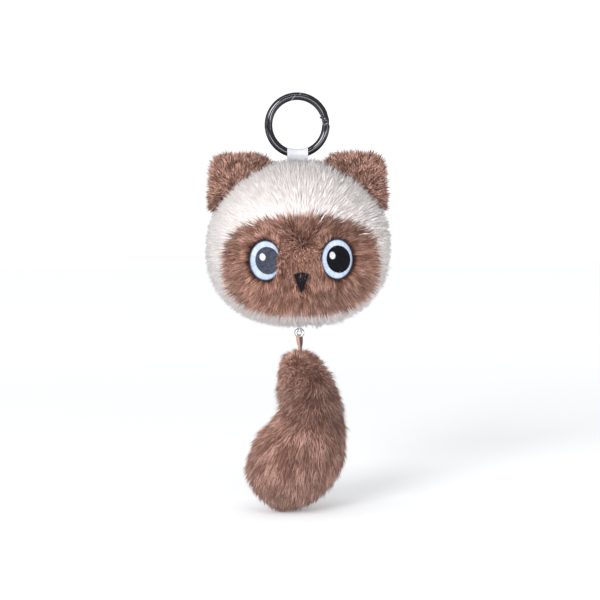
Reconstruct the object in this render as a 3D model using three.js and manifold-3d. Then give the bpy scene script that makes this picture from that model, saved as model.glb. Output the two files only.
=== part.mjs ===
// A plush cat-head keychain: a spring gate ring, a sewn ribbon tab, a stuffed fur head with two ears,
// and a stuffed fur tail that hangs from the head on a small metal ring.
// Millimetres, +Z up, the face looks along -Y. The origin is the top of the ring's hole, where it hangs.
import * as THREE from 'three';
import { mergeVertices } from 'three/addons/utils/BufferGeometryUtils.js';
import Module from 'manifold-3d';

const wasm = await Module();
wasm.setup();

// Driving dimensions
const GAP = 0.3;                  // clearance between neighbouring pieces
const ringBore = 25;              // the hole of the ring
const ringWire = 4;               // round wire of the ring
const hingeAngle = 9;             // degrees above the ring's right-hand side
const pinDiameter = 1.4;
const pinClearance = 0.1;         // radial, in the holes the pin turns in
const tongueThickness = 1.6;      // flat tongue on the ring's body that the gate's fork straddles
const tabWidth = 11.7;
const ribbonThickness = 0.6;
const headWidth = 90;
const headDepth = 58;
const headTop = -31.4;
const headBottom = -113.4;
const headMiddle = -75;           // height of the head's widest level
const clothThickness = 2;         // fur cloth with the roots of its pile
const fillingGap = 1.2;           // the filling's coarser facets stay clear of the cloth
const maskWidth = 77;
const maskHeight = 47;
const maskCentre = [1, -81.8];    // x and z
const eyeSpread = 36.8;           // between the two eyes' centres
const faceShift = 0.6;            // the face sits this far to the right of the ring's middle
const eyeLevel = -80.4;
const eyeSize = [16.2, 20];       // outline width and height
const pupilSize = [12, 13.8];
const glintSize = [3.8, 4.3];
const glintShift = [-2.9, 1.8];
const threadThickness = 0.6;      // one layer of embroidery
const noseWidth = 8;
const noseTop = -86.6;
const noseTip = -97;
const earThickness = 8;
const earSetBack = 1;             // the ears' seam lies this far behind the head's seam
const linkLoopRadius = 1.5;       // sewn loop under the head
const linkLoopCord = 0.9;
const linkRingRadius = 2.2;       // small metal ring
const linkRingWire = 1;
const tailCordThickness = 0.9;
const tailTop = -126.6;
const tailBottom = -206;
const tailDepthShare = 0.78;      // depth of the tail over its width

const centreRadius = (ringBore + ringWire) / 2;
const wireRadius = ringWire / 2;
const ringCentre = -ringBore / 2;

// Degrees to a point on the ring's centreline, in the ring's own plane
function onRing(degrees, radius = centreRadius) {
  const turn = THREE.MathUtils.degToRad(degrees);
  return [radius * Math.cos(turn), radius * Math.sin(turn)];
}

const hinge = onRing(hingeAngle);

// ---- helpers: three.js geometry to a solid that can be cut, and back ----

function solid(geometry) {
  const bare = geometry.index ? geometry.toNonIndexed() : geometry.clone();
  bare.deleteAttribute('normal');
  bare.deleteAttribute('uv');
  const welded = mergeVertices(bare, 1e-4);
  const vertProperties = welded.attributes.position.array;
  const triVerts = new Uint32Array(welded.index.array);
  return new wasm.Manifold(new wasm.Mesh({ numProp: 3, vertProperties, triVerts }));
}

function geometryOf(body) {
  const cut = body.getMesh();
  const geometry = new THREE.BufferGeometry();
  geometry.setAttribute('position', new THREE.BufferAttribute(new Float32Array(cut.vertProperties), 3));
  geometry.setIndex(new THREE.BufferAttribute(new Uint32Array(cut.triVerts), 1));
  geometry.computeVertexNormals();
  return geometry;
}

function material(color, roughness, metalness = 0) {
  return new THREE.MeshStandardMaterial({ color, roughness, metalness });
}

const finish = {
  gunmetal: material(0x3a3a40, 0.25, 1),
  steel: material(0xb9bcc2, 0.3, 1),
  ribbon: material(0xdadce0, 0.5),
  creamFur: material(0xe6e0de, 0.95),
  brownFur: material(0x967168, 0.95),
  filling: material(0xf4f4f2, 1),
  eyeEdge: material(0x23262f, 0.6),
  eyeBlue: material(0xbdd0e6, 0.5),
  pupilGrey: material(0x41465a, 0.6),
  glintWhite: material(0xf2f3f6, 0.5),
  noseBlack: material(0x17161a, 0.7),
  loopWhite: material(0xe8e8ea, 0.7),
  cordBrown: material(0x7d5a50, 0.6),
};

function piece(name, body, look) {
  const mesh = new THREE.Mesh(body.isBufferGeometry ? body : geometryOf(body), look);
  mesh.name = name;
  return mesh;
}

// A block between two corners
function block(low, high) {
  const size = high.map((value, i) => value - low[i]);
  const middle = high.map((value, i) => (value + low[i]) / 2);
  return solid(new THREE.BoxGeometry(...size).translate(...middle));
}

// A round bar along local Z, centred on a point of the XY plane
function bar(radius, halfLength, at, sides = 20) {
  const cylinder = new THREE.CylinderGeometry(radius, radius, 2 * halfLength, sides);
  return solid(cylinder.rotateX(Math.PI / 2).translate(at[0], at[1], 0));
}

// ---- the ring, drawn in its own XY plane with +Z towards the viewer ----

// A wedge of the ring's plane between two angles, thick enough to cut the whole wire
function wedge(from, to, reach = 30) {
  const sector = new THREE.Shape();
  const steps = Math.ceil((to - from) / 30);
  sector.moveTo(0, 0);
  for (let i = 0; i <= steps; i++) {
    sector.lineTo(...onRing(from + ((to - from) * i) / steps, reach));
  }
  sector.closePath();
  const slab = new THREE.ExtrudeGeometry(sector, { depth: 10, bevelEnabled: false });
  return solid(slab.translate(0, 0, -5));
}

function tube(outer, inner) {
  const thick = bar(outer, 5, [0, 0], 48);
  return thick.subtract(bar(inner, 6, [0, 0], 48));
}

// The joint at the top follows a circle about the hinge, so the gate can swing in past the body's end.
const jointPoint = onRing(95);
const jointReach = Math.hypot(jointPoint[0] - hinge[0], jointPoint[1] - hinge[1]);
const lipLength = 1.3;            // the body's outer lip over the gate, which stops it going outwards
const knuckle = wireRadius + 0.05;
const slotReach = 3.8;            // the fork's slot passes the heel's far corner at every opening

function ringParts() {
  const wire = solid(new THREE.TorusGeometry(centreRadius, wireRadius, 10, 48));
  const tongueHalf = tongueThickness / 2;

  // Body: everything from the hinge round the bottom and left to the top joint
  const outerHalf = tube(centreRadius + 5, centreRadius + 0.6);
  const gateReach = bar(jointReach + GAP, 6, hinge, 48);
  const lipReach = bar(jointReach - lipLength, 6, hinge, 48);
  const gateSide = wedge(hingeAngle, 125);
  const cutForGate = gateReach.subtract(outerHalf).add(lipReach).intersect(gateSide);
  const shoulder = bar(knuckle + GAP, 6, hinge, 24);
  const tonguePlate = block([-30, -30, -tongueHalf], [30, 30, tongueHalf]);
  const tongueRound = bar(knuckle - 0.2, tongueHalf, hinge, 24);
  const neck = wire.intersect(wedge(-6, hingeAngle)).intersect(tonguePlate);
  const heel = heelOf(tongueHalf);
  const pinHole = bar(pinDiameter / 2 + pinClearance, 6, hinge, 16);
  const openArc = wire.subtract(cutForGate).subtract(shoulder).subtract(wedge(-1, hingeAngle + 2));
  const body = openArc.add(neck).add(tongueRound).add(heel).subtract(pinHole);

  // Gate: a fork on the pin, a bore for the spring, and the free end under the body's lip
  const gateArc = wire.intersect(wedge(hingeAngle, 125)).intersect(bar(jointReach, 6, hinge, 48));
  const underLip = outerHalf.add(tube(centreRadius + 5, centreRadius + 0.3));
  const lipRoom = underLip.subtract(bar(jointReach - lipLength - GAP, 7, hinge, 48));
  const knuckles = wire.intersect(bar(knuckle, 6, hinge, 24));
  const slotHalf = tongueHalf + 0.25;
  const slot = bar(slotReach, slotHalf, hinge, 24);
  const fork = gateArc.subtract(lipRoom).add(knuckles).subtract(slot).subtract(pinHole);
  const bore = springTunnel();
  const gate = fork.subtract(bore);

  const pin = bar(pinDiameter / 2, wireRadius + 0.1, hinge, 16);
  return [
    piece('ring_body', body, finish.gunmetal),
    piece('ring_gate', gate, finish.gunmetal),
    piece('gate_pin', pin, finish.gunmetal),
    piece('gate_spring', springGeometry(), finish.steel),
  ];
}

// The heel is the tongue's nose on the ring's inner side, which the spring bears on as the gate opens.
function heelOf(half) {
  const nose = new THREE.Shape();
  nose.moveTo(-0.6, 0);
  nose.lineTo(-2.9, 0.9);
  nose.lineTo(-2.9, 1.9);
  nose.lineTo(-0.6, 1.4);
  nose.closePath();
  const slab = new THREE.ExtrudeGeometry(nose, { depth: 2 * half, bevelEnabled: false });
  return solid(slab.translate(hinge[0], hinge[1], -half));
}

// The spring lies in the hollow of the gate, along the chord between two angles.
const springStart = onRing(hingeAngle + 15);
const springEnd = onRing(hingeAngle + 36);
const springRadius = 0.75;
const springWire = 0.3;

function springTunnel() {
  const path = new THREE.LineCurve3(
    new THREE.Vector3(...onRing(hingeAngle + 10), 0),
    new THREE.Vector3(...onRing(hingeAngle + 38), 0),
  );
  const round = new THREE.Shape().absarc(0, 0, springRadius + springWire / 2 + 0.35, 0, 2 * Math.PI);
  const settings = { steps: 1, curveSegments: 6, extrudePath: path };
  return solid(new THREE.ExtrudeGeometry(round, settings));
}

class Helix extends THREE.Curve {
  constructor(length, radius, turns) {
    super();
    Object.assign(this, { length, radius, turns });
  }

  getPoint(share, target = new THREE.Vector3()) {
    const turn = 2 * Math.PI * this.turns * share;
    return target.set(this.radius * Math.cos(turn), this.radius * Math.sin(turn), this.length * share);
  }
}

function springGeometry() {
  const start = new THREE.Vector3(...springStart, 0);
  const end = new THREE.Vector3(...springEnd, 0);
  const turns = 5;
  const coil = new Helix(start.distanceTo(end), springRadius, turns);
  const round = new THREE.Shape().absarc(0, 0, springWire / 2, 0, 2 * Math.PI);
  const settings = { steps: turns * 8, curveSegments: 3, extrudePath: coil };
  const geometry = new THREE.ExtrudeGeometry(round, settings);
  const along = end.clone().sub(start).normalize();
  geometry.applyQuaternion(new THREE.Quaternion().setFromUnitVectors(new THREE.Vector3(0, 0, 1), along));
  return geometry.translate(...springStart, 0);
}

// ---- the ribbon tab: a loop round the wire and two ends sewn into the head ----

// The curved wire climbs by this much at a distance x from the ring's lowest point.
function wireClimb(x) {
  return centreRadius - Math.sqrt(centreRadius ** 2 - x ** 2);
}

// A ring of ribbon turned about the wire, flared towards its edges so that the bent wire turns inside it
function flaredLoop(inner, outer, halfWidth, sides = 20) {
  const profile = [];
  const stops = 4;
  for (let i = -stops; i <= stops; i++) {
    const x = (halfWidth * i) / stops;
    profile.push(new THREE.Vector2(wireClimb(x) + outer, x));
  }
  if (inner === 0) {
    profile.unshift(new THREE.Vector2(0, -halfWidth));
    profile.push(new THREE.Vector2(0, halfWidth));
  } else {
    for (let i = stops; i >= -stops; i--) {
      const x = (halfWidth * i) / stops;
      profile.push(new THREE.Vector2(wireClimb(x) + inner, x));
    }
    profile.push(profile[0].clone());
  }
  return solid(new THREE.LatheGeometry(profile, sides).rotateZ(-Math.PI / 2));
}

const lowestWire = ringCentre - centreRadius;
const loopInner = wireRadius + GAP;
const loopOuter = loopInner + ribbonThickness;
const loopWidth = 10.6;

function tabParts() {
  const loop = flaredLoop(loopInner, loopOuter, loopWidth / 2);
  const room = flaredLoop(0, loopOuter + GAP, tabWidth / 2 + 0.4);
  const endsHalf = ribbonThickness + 0.1;
  const ends = block([-tabWidth / 2, -endsHalf, -8.8], [tabWidth / 2, endsHalf, -2]).subtract(room);
  return [
    piece('tab_loop', loop, finish.ribbon),
    piece('tab_ends', ends, finish.ribbon),
  ];
}

// ---- the head: an egg-like form, cut into cloth panels round a filling ----

// The head's form, grown outwards by an offset, about the head's middle
function headForm(offset, around = 24, rings = 14) {
  const form = new THREE.SphereGeometry(1, around, rings).rotateX(Math.PI / 2);
  const up = headTop - headMiddle + offset;
  const down = headMiddle - headBottom + offset;
  const place = form.attributes.position;
  for (let i = 0; i < place.count; i++) {
    const z = place.getZ(i);
    place.setX(i, place.getX(i) * (headWidth / 2 + offset));
    place.setY(i, place.getY(i) * (headDepth / 2 + offset));
    place.setZ(i, z * (z > 0 ? up : down));
  }
  return solid(form);
}

// A prism along Y in front of the head, from an outline in x and z about the head's middle
function frontPrism(outline) {
  const slab = new THREE.ExtrudeGeometry(outline, { depth: 60, bevelEnabled: false, curveSegments: 6 });
  return solid(slab.rotateX(Math.PI / 2));
}

// A rounded box outline between an ellipse and a rectangle
function roundedOutline(width, height, centre, squareness = 2.5, points = 28) {
  const outline = new THREE.Shape();
  for (let i = 0; i < points; i++) {
    const turn = (2 * Math.PI * i) / points;
    const across = Math.cos(turn);
    const upward = Math.sin(turn);
    const x = centre[0] + (Math.sign(across) * Math.abs(across) ** (2 / squareness) * width) / 2;
    const z = centre[1] + (Math.sign(upward) * Math.abs(upward) ** (2 / squareness) * height) / 2;
    if (i === 0) {
      outline.moveTo(x, z);
    } else {
      outline.lineTo(x, z);
    }
  }
  outline.closePath();
  return outline;
}

function oval(size, centre, trim = 0) {
  return roundedOutline(size[0] - trim, size[1] - trim, centre, 2, 24);
}

// A layer of cloth or thread that lies on the head's front, between two offsets
function faceLayer(outline, low, high) {
  return headForm(high).subtract(headForm(low)).intersect(frontPrism(outline));
}

function headParts() {
  const shell = headForm(0).subtract(headForm(-clothThickness));
  const ribbonSlot = block([-tabWidth / 2 - GAP, -1.1, 30], [tabWidth / 2 + GAP, 1.1, 60]);
  const seam = GAP / 2;
  const frontHalf = block([-60, -60, -60], [60, -seam, 60]);
  const backHalf = block([-60, seam, -60], [60, 60, 60]);
  const maskMiddle = [maskCentre[0], maskCentre[1] - headMiddle];
  const maskHole = frontPrism(roundedOutline(maskWidth + GAP, maskHeight + GAP, maskMiddle));
  const maskPrism = frontPrism(roundedOutline(maskWidth - GAP, maskHeight - GAP, maskMiddle));
  const front = shell.intersect(frontHalf).subtract(maskHole).subtract(ribbonSlot);
  const back = shell.intersect(backHalf).subtract(ribbonSlot);
  const mask = shell.intersect(frontHalf).intersect(maskPrism);
  const fillingRoom = block([-tabWidth / 2 - GAP, -1.1, 38], [tabWidth / 2 + GAP, 1.1, 60]);
  const filling = headForm(-clothThickness - fillingGap, 20, 12).subtract(fillingRoom);
  return [
    piece('head_front', front, finish.creamFur),
    piece('head_back', back, finish.creamFur),
    piece('face_mask', mask, finish.brownFur),
    piece('head_stuffing', filling, finish.filling),
  ];
}

// ---- the face: embroidery in two layers of thread on the mask ----

const lowerLayer = [GAP + 0.05, GAP + 0.05 + threadThickness];
const upperLayer = lowerLayer.map((offset) => offset + threadThickness + GAP);

function eyeParts(side, centreX) {
  const centre = [centreX, eyeLevel - headMiddle];
  const glintCentre = [centre[0] + glintShift[0], centre[1] + glintShift[1]];
  const ringSize = eyeSize.map((value) => value - 1.6);
  const patch = faceLayer(oval(eyeSize, centre), ...lowerLayer);
  const pupilRoom = frontPrism(oval(pupilSize, centre, -GAP));
  const glintRoom = frontPrism(oval(glintSize, glintCentre, -2 * GAP));
  const blue = faceLayer(oval(ringSize, centre), ...upperLayer).subtract(pupilRoom);
  const pupil = faceLayer(oval(pupilSize, centre, GAP), ...upperLayer).subtract(glintRoom);
  const glint = faceLayer(oval(glintSize, glintCentre), ...upperLayer);
  return [
    piece(`eye_patch_${side}`, patch, finish.eyeEdge),
    piece(`eye_blue_${side}`, blue, finish.eyeBlue),
    piece(`eye_pupil_${side}`, pupil, finish.pupilGrey),
    piece(`eye_glint_${side}`, glint, finish.glintWhite),
  ];
}

function nosePart() {
  const top = noseTop - headMiddle;
  const tip = noseTip - headMiddle;
  const half = noseWidth / 2;
  const corner = 1.6;
  const outline = new THREE.Shape();
  outline.moveTo(-half + corner, top);
  outline.lineTo(half - corner, top);
  outline.quadraticCurveTo(half, top, half - corner / 2, top - corner);
  outline.lineTo(0.8, tip + 0.6);
  outline.quadraticCurveTo(0, tip, -0.8, tip + 0.6);
  outline.lineTo(-half + corner / 2, top - corner);
  outline.quadraticCurveTo(-half, top, -half + corner, top);
  return piece('nose', faceLayer(outline, GAP + 0.05, 2), finish.noseBlack);
}

// ---- the ears: two fur panels each, sewn into the head's seam ----

// The left ear's outline about the head's middle; its lower edge lies inside the head and is cut away
function earOutline() {
  const outline = new THREE.Shape();
  outline.moveTo(-45.4, 14);
  outline.lineTo(-45.4, 40);
  outline.quadraticCurveTo(-45.4, 48, -37.5, 48);
  outline.lineTo(-22, 48);
  outline.quadraticCurveTo(-15.5, 47.5, -12.5, 41.5);
  outline.lineTo(-20, 25);
  outline.closePath();
  return outline;
}

function earParts(side, mirror) {
  const half = earThickness / 2;
  const bevel = { bevelEnabled: true, bevelThickness: 1, bevelSize: 1, bevelOffset: -1, bevelSegments: 1 };
  const settings = { depth: earThickness - 2, curveSegments: 5, ...bevel };
  const slab = new THREE.ExtrudeGeometry(earOutline(), settings).translate(0, 0, 1 - half);
  const whole = solid(slab.rotateX(Math.PI / 2).translate(0, earSetBack, 0)).subtract(headForm(GAP + 0.1));
  const sided = mirror ? whole.mirror([1, 0, 0]) : whole;
  const seam = GAP / 2;
  const frontHalf = block([-60, -60, -60], [60, earSetBack - seam, 60]);
  const backHalf = block([-60, earSetBack + seam, -60], [60, 60, 60]);
  return [
    piece(`ear_${side}_front`, sided.intersect(frontHalf), finish.brownFur),
    piece(`ear_${side}_back`, sided.intersect(backHalf), finish.brownFur),
  ];
}

// ---- the link: a sewn loop, a small metal ring and the tail's cord ----

const loopCentre = headBottom - GAP - linkLoopRadius - linkLoopCord / 2 + 0.05;
const ringTopWire = loopCentre - linkLoopRadius + (linkLoopCord + linkRingWire) / 2 + 0.2;
const linkCentre = ringTopWire - linkRingRadius;
const cordTop = linkCentre - linkRingRadius + (linkRingWire + tailCordThickness) / 2 + 0.2;
const cordBottom = tailTop + GAP + tailCordThickness / 2 + 0.05;

function loopPart() {
  const loop = new THREE.TorusGeometry(linkLoopRadius, linkLoopCord / 2, 8, 16).rotateY(Math.PI / 2);
  return piece('link_loop', loop, finish.loopWhite);
}

function linkRingPart() {
  const ring = new THREE.TorusGeometry(linkRingRadius, linkRingWire / 2, 8, 22).rotateX(Math.PI / 2);
  return piece('link_ring', ring, finish.steel);
}

// A long closed loop of cord, front and back of the small ring's wire
class LongLoop extends THREE.Curve {
  constructor(halfWidth, halfHeight) {
    super();
    Object.assign(this, { halfWidth, halfHeight });
  }

  getPoint(share, target = new THREE.Vector3()) {
    const turn = 2 * Math.PI * share;
    return target.set(0, this.halfWidth * Math.cos(turn), this.halfHeight * Math.sin(turn));
  }
}

function cordPart() {
  const halfWidth = (linkRingWire + tailCordThickness) / 2 + 0.3;
  const route = new LongLoop(halfWidth, (cordTop - cordBottom) / 2);
  const cord = new THREE.TubeGeometry(route, 20, tailCordThickness / 2, 8, true);
  return piece('tail_cord', cord, finish.cordBrown);
}

// ---- the tail: a bent bean form, cut into two cloth panels round a filling ----

// Share of the way down the tail, sideways middle there, and fullness of the form there
const tailShape = [
  [0, -1.5, 19.5],
  [0.17, 2, 17.6],
  [0.36, 4.4, 16],
  [0.54, 0.4, 21.6],
  [0.74, -3.8, 26.6],
  [1, -7, 28.6],
];

// Smooth value of one column of the shape at a share of the way down
function tailValue(share, column) {
  const last = tailShape.length - 1;
  const upper = THREE.MathUtils.clamp(tailShape.findIndex((row) => row[0] >= share), 1, last);
  const slopeAt = (row) => {
    const low = tailShape[Math.max(row - 1, 0)];
    const high = tailShape[Math.min(row + 1, last)];
    return (high[column] - low[column]) / (high[0] - low[0]);
  };
  const [from, to] = [tailShape[upper - 1], tailShape[upper]];
  const span = to[0] - from[0];
  const t = (share - from[0]) / span;
  const ease = t * t * (3 - 2 * t);
  const leave = t * (1 - t) ** 2 * span * slopeAt(upper - 1);
  const arrive = t * t * (t - 1) * span * slopeAt(upper);
  return from[column] + ease * (to[column] - from[column]) + leave + arrive;
}

const tailLength = tailTop - tailBottom;

// The tail's form below its top, grown outwards by an offset
function tailForm(offset, around = 20, rings = 14) {
  const form = new THREE.SphereGeometry(1, around, rings).rotateX(Math.PI / 2);
  const place = form.attributes.position;
  for (let i = 0; i < place.count; i++) {
    const [x, y, z] = [place.getX(i), place.getY(i), place.getZ(i)];
    const share = THREE.MathUtils.clamp((1 - z) / 2, 0, 1);
    const full = tailValue(share, 2) + offset;
    place.setX(i, tailValue(share, 1) * Math.min(1, share * 12) + x * full);
    place.setY(i, y * (full * tailDepthShare));
    place.setZ(i, -share * tailLength + z * offset);
  }
  return solid(form);
}

function tailParts() {
  const shell = tailForm(0).subtract(tailForm(-clothThickness));
  const seam = GAP / 2;
  const frontHalf = block([-60, -60, -100], [60, -seam, 20]);
  const backHalf = block([-60, seam, -100], [60, 60, 20]);
  return [
    piece('tail_front', shell.intersect(frontHalf), finish.brownFur),
    piece('tail_back', shell.intersect(backHalf), finish.brownFur),
    piece('tail_stuffing', tailForm(-clothThickness - fillingGap, 14, 12), finish.filling),
  ];
}

// ---- the assembly ----

function groupAt(z, ...pieces) {
  const group = new THREE.Group();
  group.position.z = z;
  group.add(...pieces);
  return group;
}

const ringGroup = groupAt(ringCentre, ...ringParts());
ringGroup.rotation.x = Math.PI / 2;

const headGroup = groupAt(
  headMiddle,
  ...headParts(),
  ...eyeParts('left', faceShift - eyeSpread / 2),
  ...eyeParts('right', faceShift + eyeSpread / 2),
  nosePart(),
  ...earParts('left', false),
  ...earParts('right', true),
);

const keychain = new THREE.Group();
keychain.add(
  ringGroup,
  groupAt(lowestWire, ...tabParts()),
  headGroup,
  groupAt(loopCentre, loopPart()),
  groupAt(linkCentre, linkRingPart()),
  groupAt((cordTop + cordBottom) / 2, cordPart()),
  groupAt(tailTop, ...tailParts()),
);

export default keychain;
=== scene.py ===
# A plush cat-head keychain: spring gate ring, ribbon tab, fur head with embroidered eyes, and a fur tail.
# Sizes are worked out in millimetres and put into the meshes in metres.
import math

import bmesh
import bpy
import numpy as np
from mathutils import Matrix, Quaternion, Vector


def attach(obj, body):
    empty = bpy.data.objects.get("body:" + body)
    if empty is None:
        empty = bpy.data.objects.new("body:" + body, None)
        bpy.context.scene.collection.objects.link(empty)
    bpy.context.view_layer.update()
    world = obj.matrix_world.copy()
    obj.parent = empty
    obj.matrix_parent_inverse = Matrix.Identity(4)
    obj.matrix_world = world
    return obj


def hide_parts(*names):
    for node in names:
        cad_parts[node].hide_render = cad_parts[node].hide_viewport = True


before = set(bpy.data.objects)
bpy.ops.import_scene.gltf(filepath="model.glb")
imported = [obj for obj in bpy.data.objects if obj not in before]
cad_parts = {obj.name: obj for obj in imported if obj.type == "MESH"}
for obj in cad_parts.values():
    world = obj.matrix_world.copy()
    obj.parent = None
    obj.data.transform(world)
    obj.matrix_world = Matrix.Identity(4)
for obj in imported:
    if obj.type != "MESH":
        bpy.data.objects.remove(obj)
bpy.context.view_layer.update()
mm = 0.001
scene = bpy.context.scene

cameraSet = {
    "aim": (0.5, 0.0, -101.0),
    "distance": 860.0,
    "azimuth": -1.5,
    "elevation": 3.0,
    "roll": -0.6,
    "lens": 101.6,
    "clip": (0.05, 50.0),
}


# The way from the object to what stands so many degrees round it and above it
def wayTo(azimuth, elevation):
    turn, rise = math.radians(azimuth), math.radians(elevation)
    return Vector((math.sin(turn) * math.cos(rise), -math.cos(turn) * math.cos(rise), math.sin(rise)))


def addToScene(name, data):
    made = bpy.data.objects.new(name, data)
    scene.collection.objects.link(made)
    return made


def makeCamera():
    data = bpy.data.cameras.new("camera")
    data.lens = cameraSet["lens"]
    data.clip_start, data.clip_end = cameraSet["clip"]
    camera = addToScene("camera", data)
    back = wayTo(cameraSet["azimuth"], cameraSet["elevation"])
    camera.location = (Vector(cameraSet["aim"]) + back * cameraSet["distance"]) * mm
    roll = Quaternion((0, 0, 1), math.radians(cameraSet["roll"]))
    camera.rotation_euler = (back.to_track_quat("Z", "Y") @ roll).to_euler()
    scene.camera = camera


makeCamera()
print("camera set")


def socketOf(sockets, key):
    if isinstance(key, int):
        return sockets[key]
    return next(socket for socket in sockets if socket.name == key and socket.enabled)


# Adds nodes to a tree. An input is given a plain value or another node's output.
class nodeMaker:
    def __init__(self, tree):
        self.tree = tree

    def put(self, socket, value):
        if isinstance(value, bpy.types.NodeSocket):
            self.tree.links.new(value, socket)
        else:
            socket.default_value = value

    def node(self, kind, inputs=None, **options):
        made = self.tree.nodes.new(kind)
        for key, value in options.items():
            setattr(made, key, value)
        for key, value in (inputs or {}).items():
            self.put(socketOf(made.inputs, key), value)
        return made

    def out(self, kind, inputs=None, **options):
        return self.node(kind, inputs, **options).outputs[0]

    def maths(self, operation, *values):
        return self.out("ShaderNodeMath", dict(enumerate(values)), operation=operation)

    def times(self, first, second):
        return self.maths("MULTIPLY", first, second)

    def vector(self, operation, *values):
        return self.out("ShaderNodeVectorMath", dict(enumerate(values)), operation=operation)

    def scaled(self, vector, scale):
        return self.out("ShaderNodeVectorMath", {0: vector, "Scale": scale}, operation="SCALE")

    def join(self, x, y, z):
        return self.out("ShaderNodeCombineXYZ", {0: x, 1: y, 2: z})

    def parts(self, vector):
        return self.node("ShaderNodeSeparateXYZ", {0: vector}).outputs

    def ramp(self, value, low, high, start=0.0, end=1.0):
        inputs = {"Value": value, "From Min": low, "From Max": high, "To Min": start, "To Max": end}
        return self.out("ShaderNodeMapRange", inputs, interpolation_type="SMOOTHSTEP")

    def mix(self, factor, first, second, blend="MIX"):
        inputs = {"Factor": factor, "A": first, "B": second}
        node = self.node("ShaderNodeMix", inputs, data_type="RGBA", blend_type=blend)
        return socketOf(node.outputs, "Result")

    def noise(self, place, scale, detail=2.0):
        return self.node("ShaderNodeTexNoise", {"Vector": place, "Scale": scale, "Detail": detail}).outputs

    def objectPlace(self):
        return self.node("ShaderNodeTexCoord").outputs["Object"]

    # A value that the mesh carries, for a material and for a geometry tree
    def attribute(self, name):
        return self.node("ShaderNodeAttribute", attribute_name=name).outputs["Fac"]

    def read(self, name, kind="FLOAT"):
        return self.out("GeometryNodeInputNamedAttribute", {"Name": name}, data_type=kind)

    def store(self, geometry, name, value, kind="FLOAT"):
        inputs = {"Geometry": geometry, "Name": name, "Value": value}
        return self.out("GeometryNodeStoreNamedAttribute", inputs, data_type=kind)

    def chance(self, seed, low=0.0, high=1.0, kind="FLOAT"):
        inputs = {"Min": low, "Max": high, "Seed": seed}
        return socketOf(self.node("FunctionNodeRandomValue", inputs, data_type=kind).outputs, "Value")

    # Copies of a shape on points, made real
    def plant(self, points, shape, turned, size):
        inputs = {"Points": points, "Instance": shape, "Rotation": turned, "Scale": size}
        placed = self.out("GeometryNodeInstanceOnPoints", inputs)
        return self.out("GeometryNodeRealizeInstances", {"Geometry": placed})

    # Ends a geometry tree: drops the values that only placed things, and gives the shape its finish
    def complete(self, made, spent, finish, leave):
        for name in spent:
            made = self.out("GeometryNodeRemoveAttribute", {"Geometry": made, "Name": name})
        made = self.out("GeometryNodeSetShadeSmooth", {"Geometry": made})
        self.put(leave[0], self.out("GeometryNodeSetMaterial", {"Geometry": made, "Material": finish}))
        return self.tree


socketKinds = {
    "colour": "NodeSocketColor",
    "number": "NodeSocketFloat",
    "whole": "NodeSocketInt",
    "shape": "NodeSocketGeometry",
    "finish": "NodeSocketMaterial",
}


# A named tree, as its node maker, what it is given and what leaves it
def newTree(name, treeKind, inputs, outputs):
    tree = bpy.data.node_groups.new(name, treeKind)
    for label, kind, *value in inputs:
        item = tree.interface.new_socket(label, in_out="INPUT", socket_type=socketKinds[kind])
        if value:
            item.default_value = value[0]
    for label, kind in outputs:
        tree.interface.new_socket(label, in_out="OUTPUT", socket_type=socketKinds[kind])
    given = tree.nodes.new("NodeGroupInput").outputs
    return nodeMaker(tree), given, tree.nodes.new("NodeGroupOutput").inputs


def meshPiece(name, points, faces, scale=mm):
    mesh = bpy.data.meshes.new(name)
    mesh.from_pydata([tuple(float(c) * scale for c in p) for p in points], [], faces)
    mesh.update()
    return addToScene(name, mesh)


# Faces between the rows of a grid of points: wrap closes each row, loop joins the last row to the first
def gridFaces(rows, columns, wrap=True, loop=False, first=0):
    faces = []
    for i in range(rows if loop else rows - 1):
        a, b = first + i * columns, first + (i + 1) % rows * columns
        for j in range(columns if wrap else columns - 1):
            k = (j + 1) % columns
            faces.append((a + j, a + k, b + k, b + j))
    return faces


def addValues(piece, name, values):
    values = np.asarray(values, float)
    kind = "FLOAT_VECTOR" if values.ndim == 2 else "FLOAT"
    layer = piece.data.attributes.new(name, kind, "POINT")
    layer.data.foreach_set("vector" if values.ndim == 2 else "value", values.ravel())


# The piece's own map for woven cloth, from a place for each of its points
def mapCloth(piece, where):
    layer = piece.data.uv_layers.new(name="clothMap")
    for loop in piece.data.loops:
        layer.data[loop.index].uv = where[loop.vertex_index]


def smooth(piece, angle=None):
    piece.data.shade_smooth()
    if angle is not None:
        piece.data.set_sharp_from_angle(angle=math.radians(angle))


# Makes every face of a closed mesh point outwards, by the sign of its volume.
def faceOutwards(piece):
    mesh = piece.data
    mesh.calc_loop_triangles()
    volume = 0.0
    for triangle in mesh.loop_triangles:
        a, b, c = (mesh.vertices[v].co for v in triangle.vertices)
        volume += a.dot(b.cross(c))
    if volume < 0:
        mesh.flip_normals()
    return piece


# A closed form from rings of points between two end points
def closedForm(name, rings, start, end, sharp=None):
    rings = np.asarray(rings)
    rows, columns = rings.shape[:2]
    points = [start, *rings.reshape(-1, 3), end]
    last = len(points) - 1
    base = last - columns
    faces = gridFaces(rows, columns, first=1)
    for j in range(columns):
        k = (j + 1) % columns
        faces += [(0, 1 + k, 1 + j), (last, base + j, base + k)]
    piece = meshPiece(name, points, faces)
    where = [(j / columns, 1 - (i + 1) / (rows + 1)) for i in range(rows) for j in range(columns)]
    mapCloth(piece, [(0.5, 1.0), *where, (0.5, 0.0)])
    smooth(faceOutwards(piece), sharp)
    return piece


# Turns a piece's live modifiers into a plain mesh.
def applyModifiers(piece):
    graph = bpy.context.evaluated_depsgraph_get()
    mesh = bpy.data.meshes.new_from_object(piece.evaluated_get(graph))
    piece.modifiers.clear()
    old = piece.data
    piece.data = mesh
    mesh.name = piece.name
    if old.users == 0:
        bpy.data.meshes.remove(old)


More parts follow.
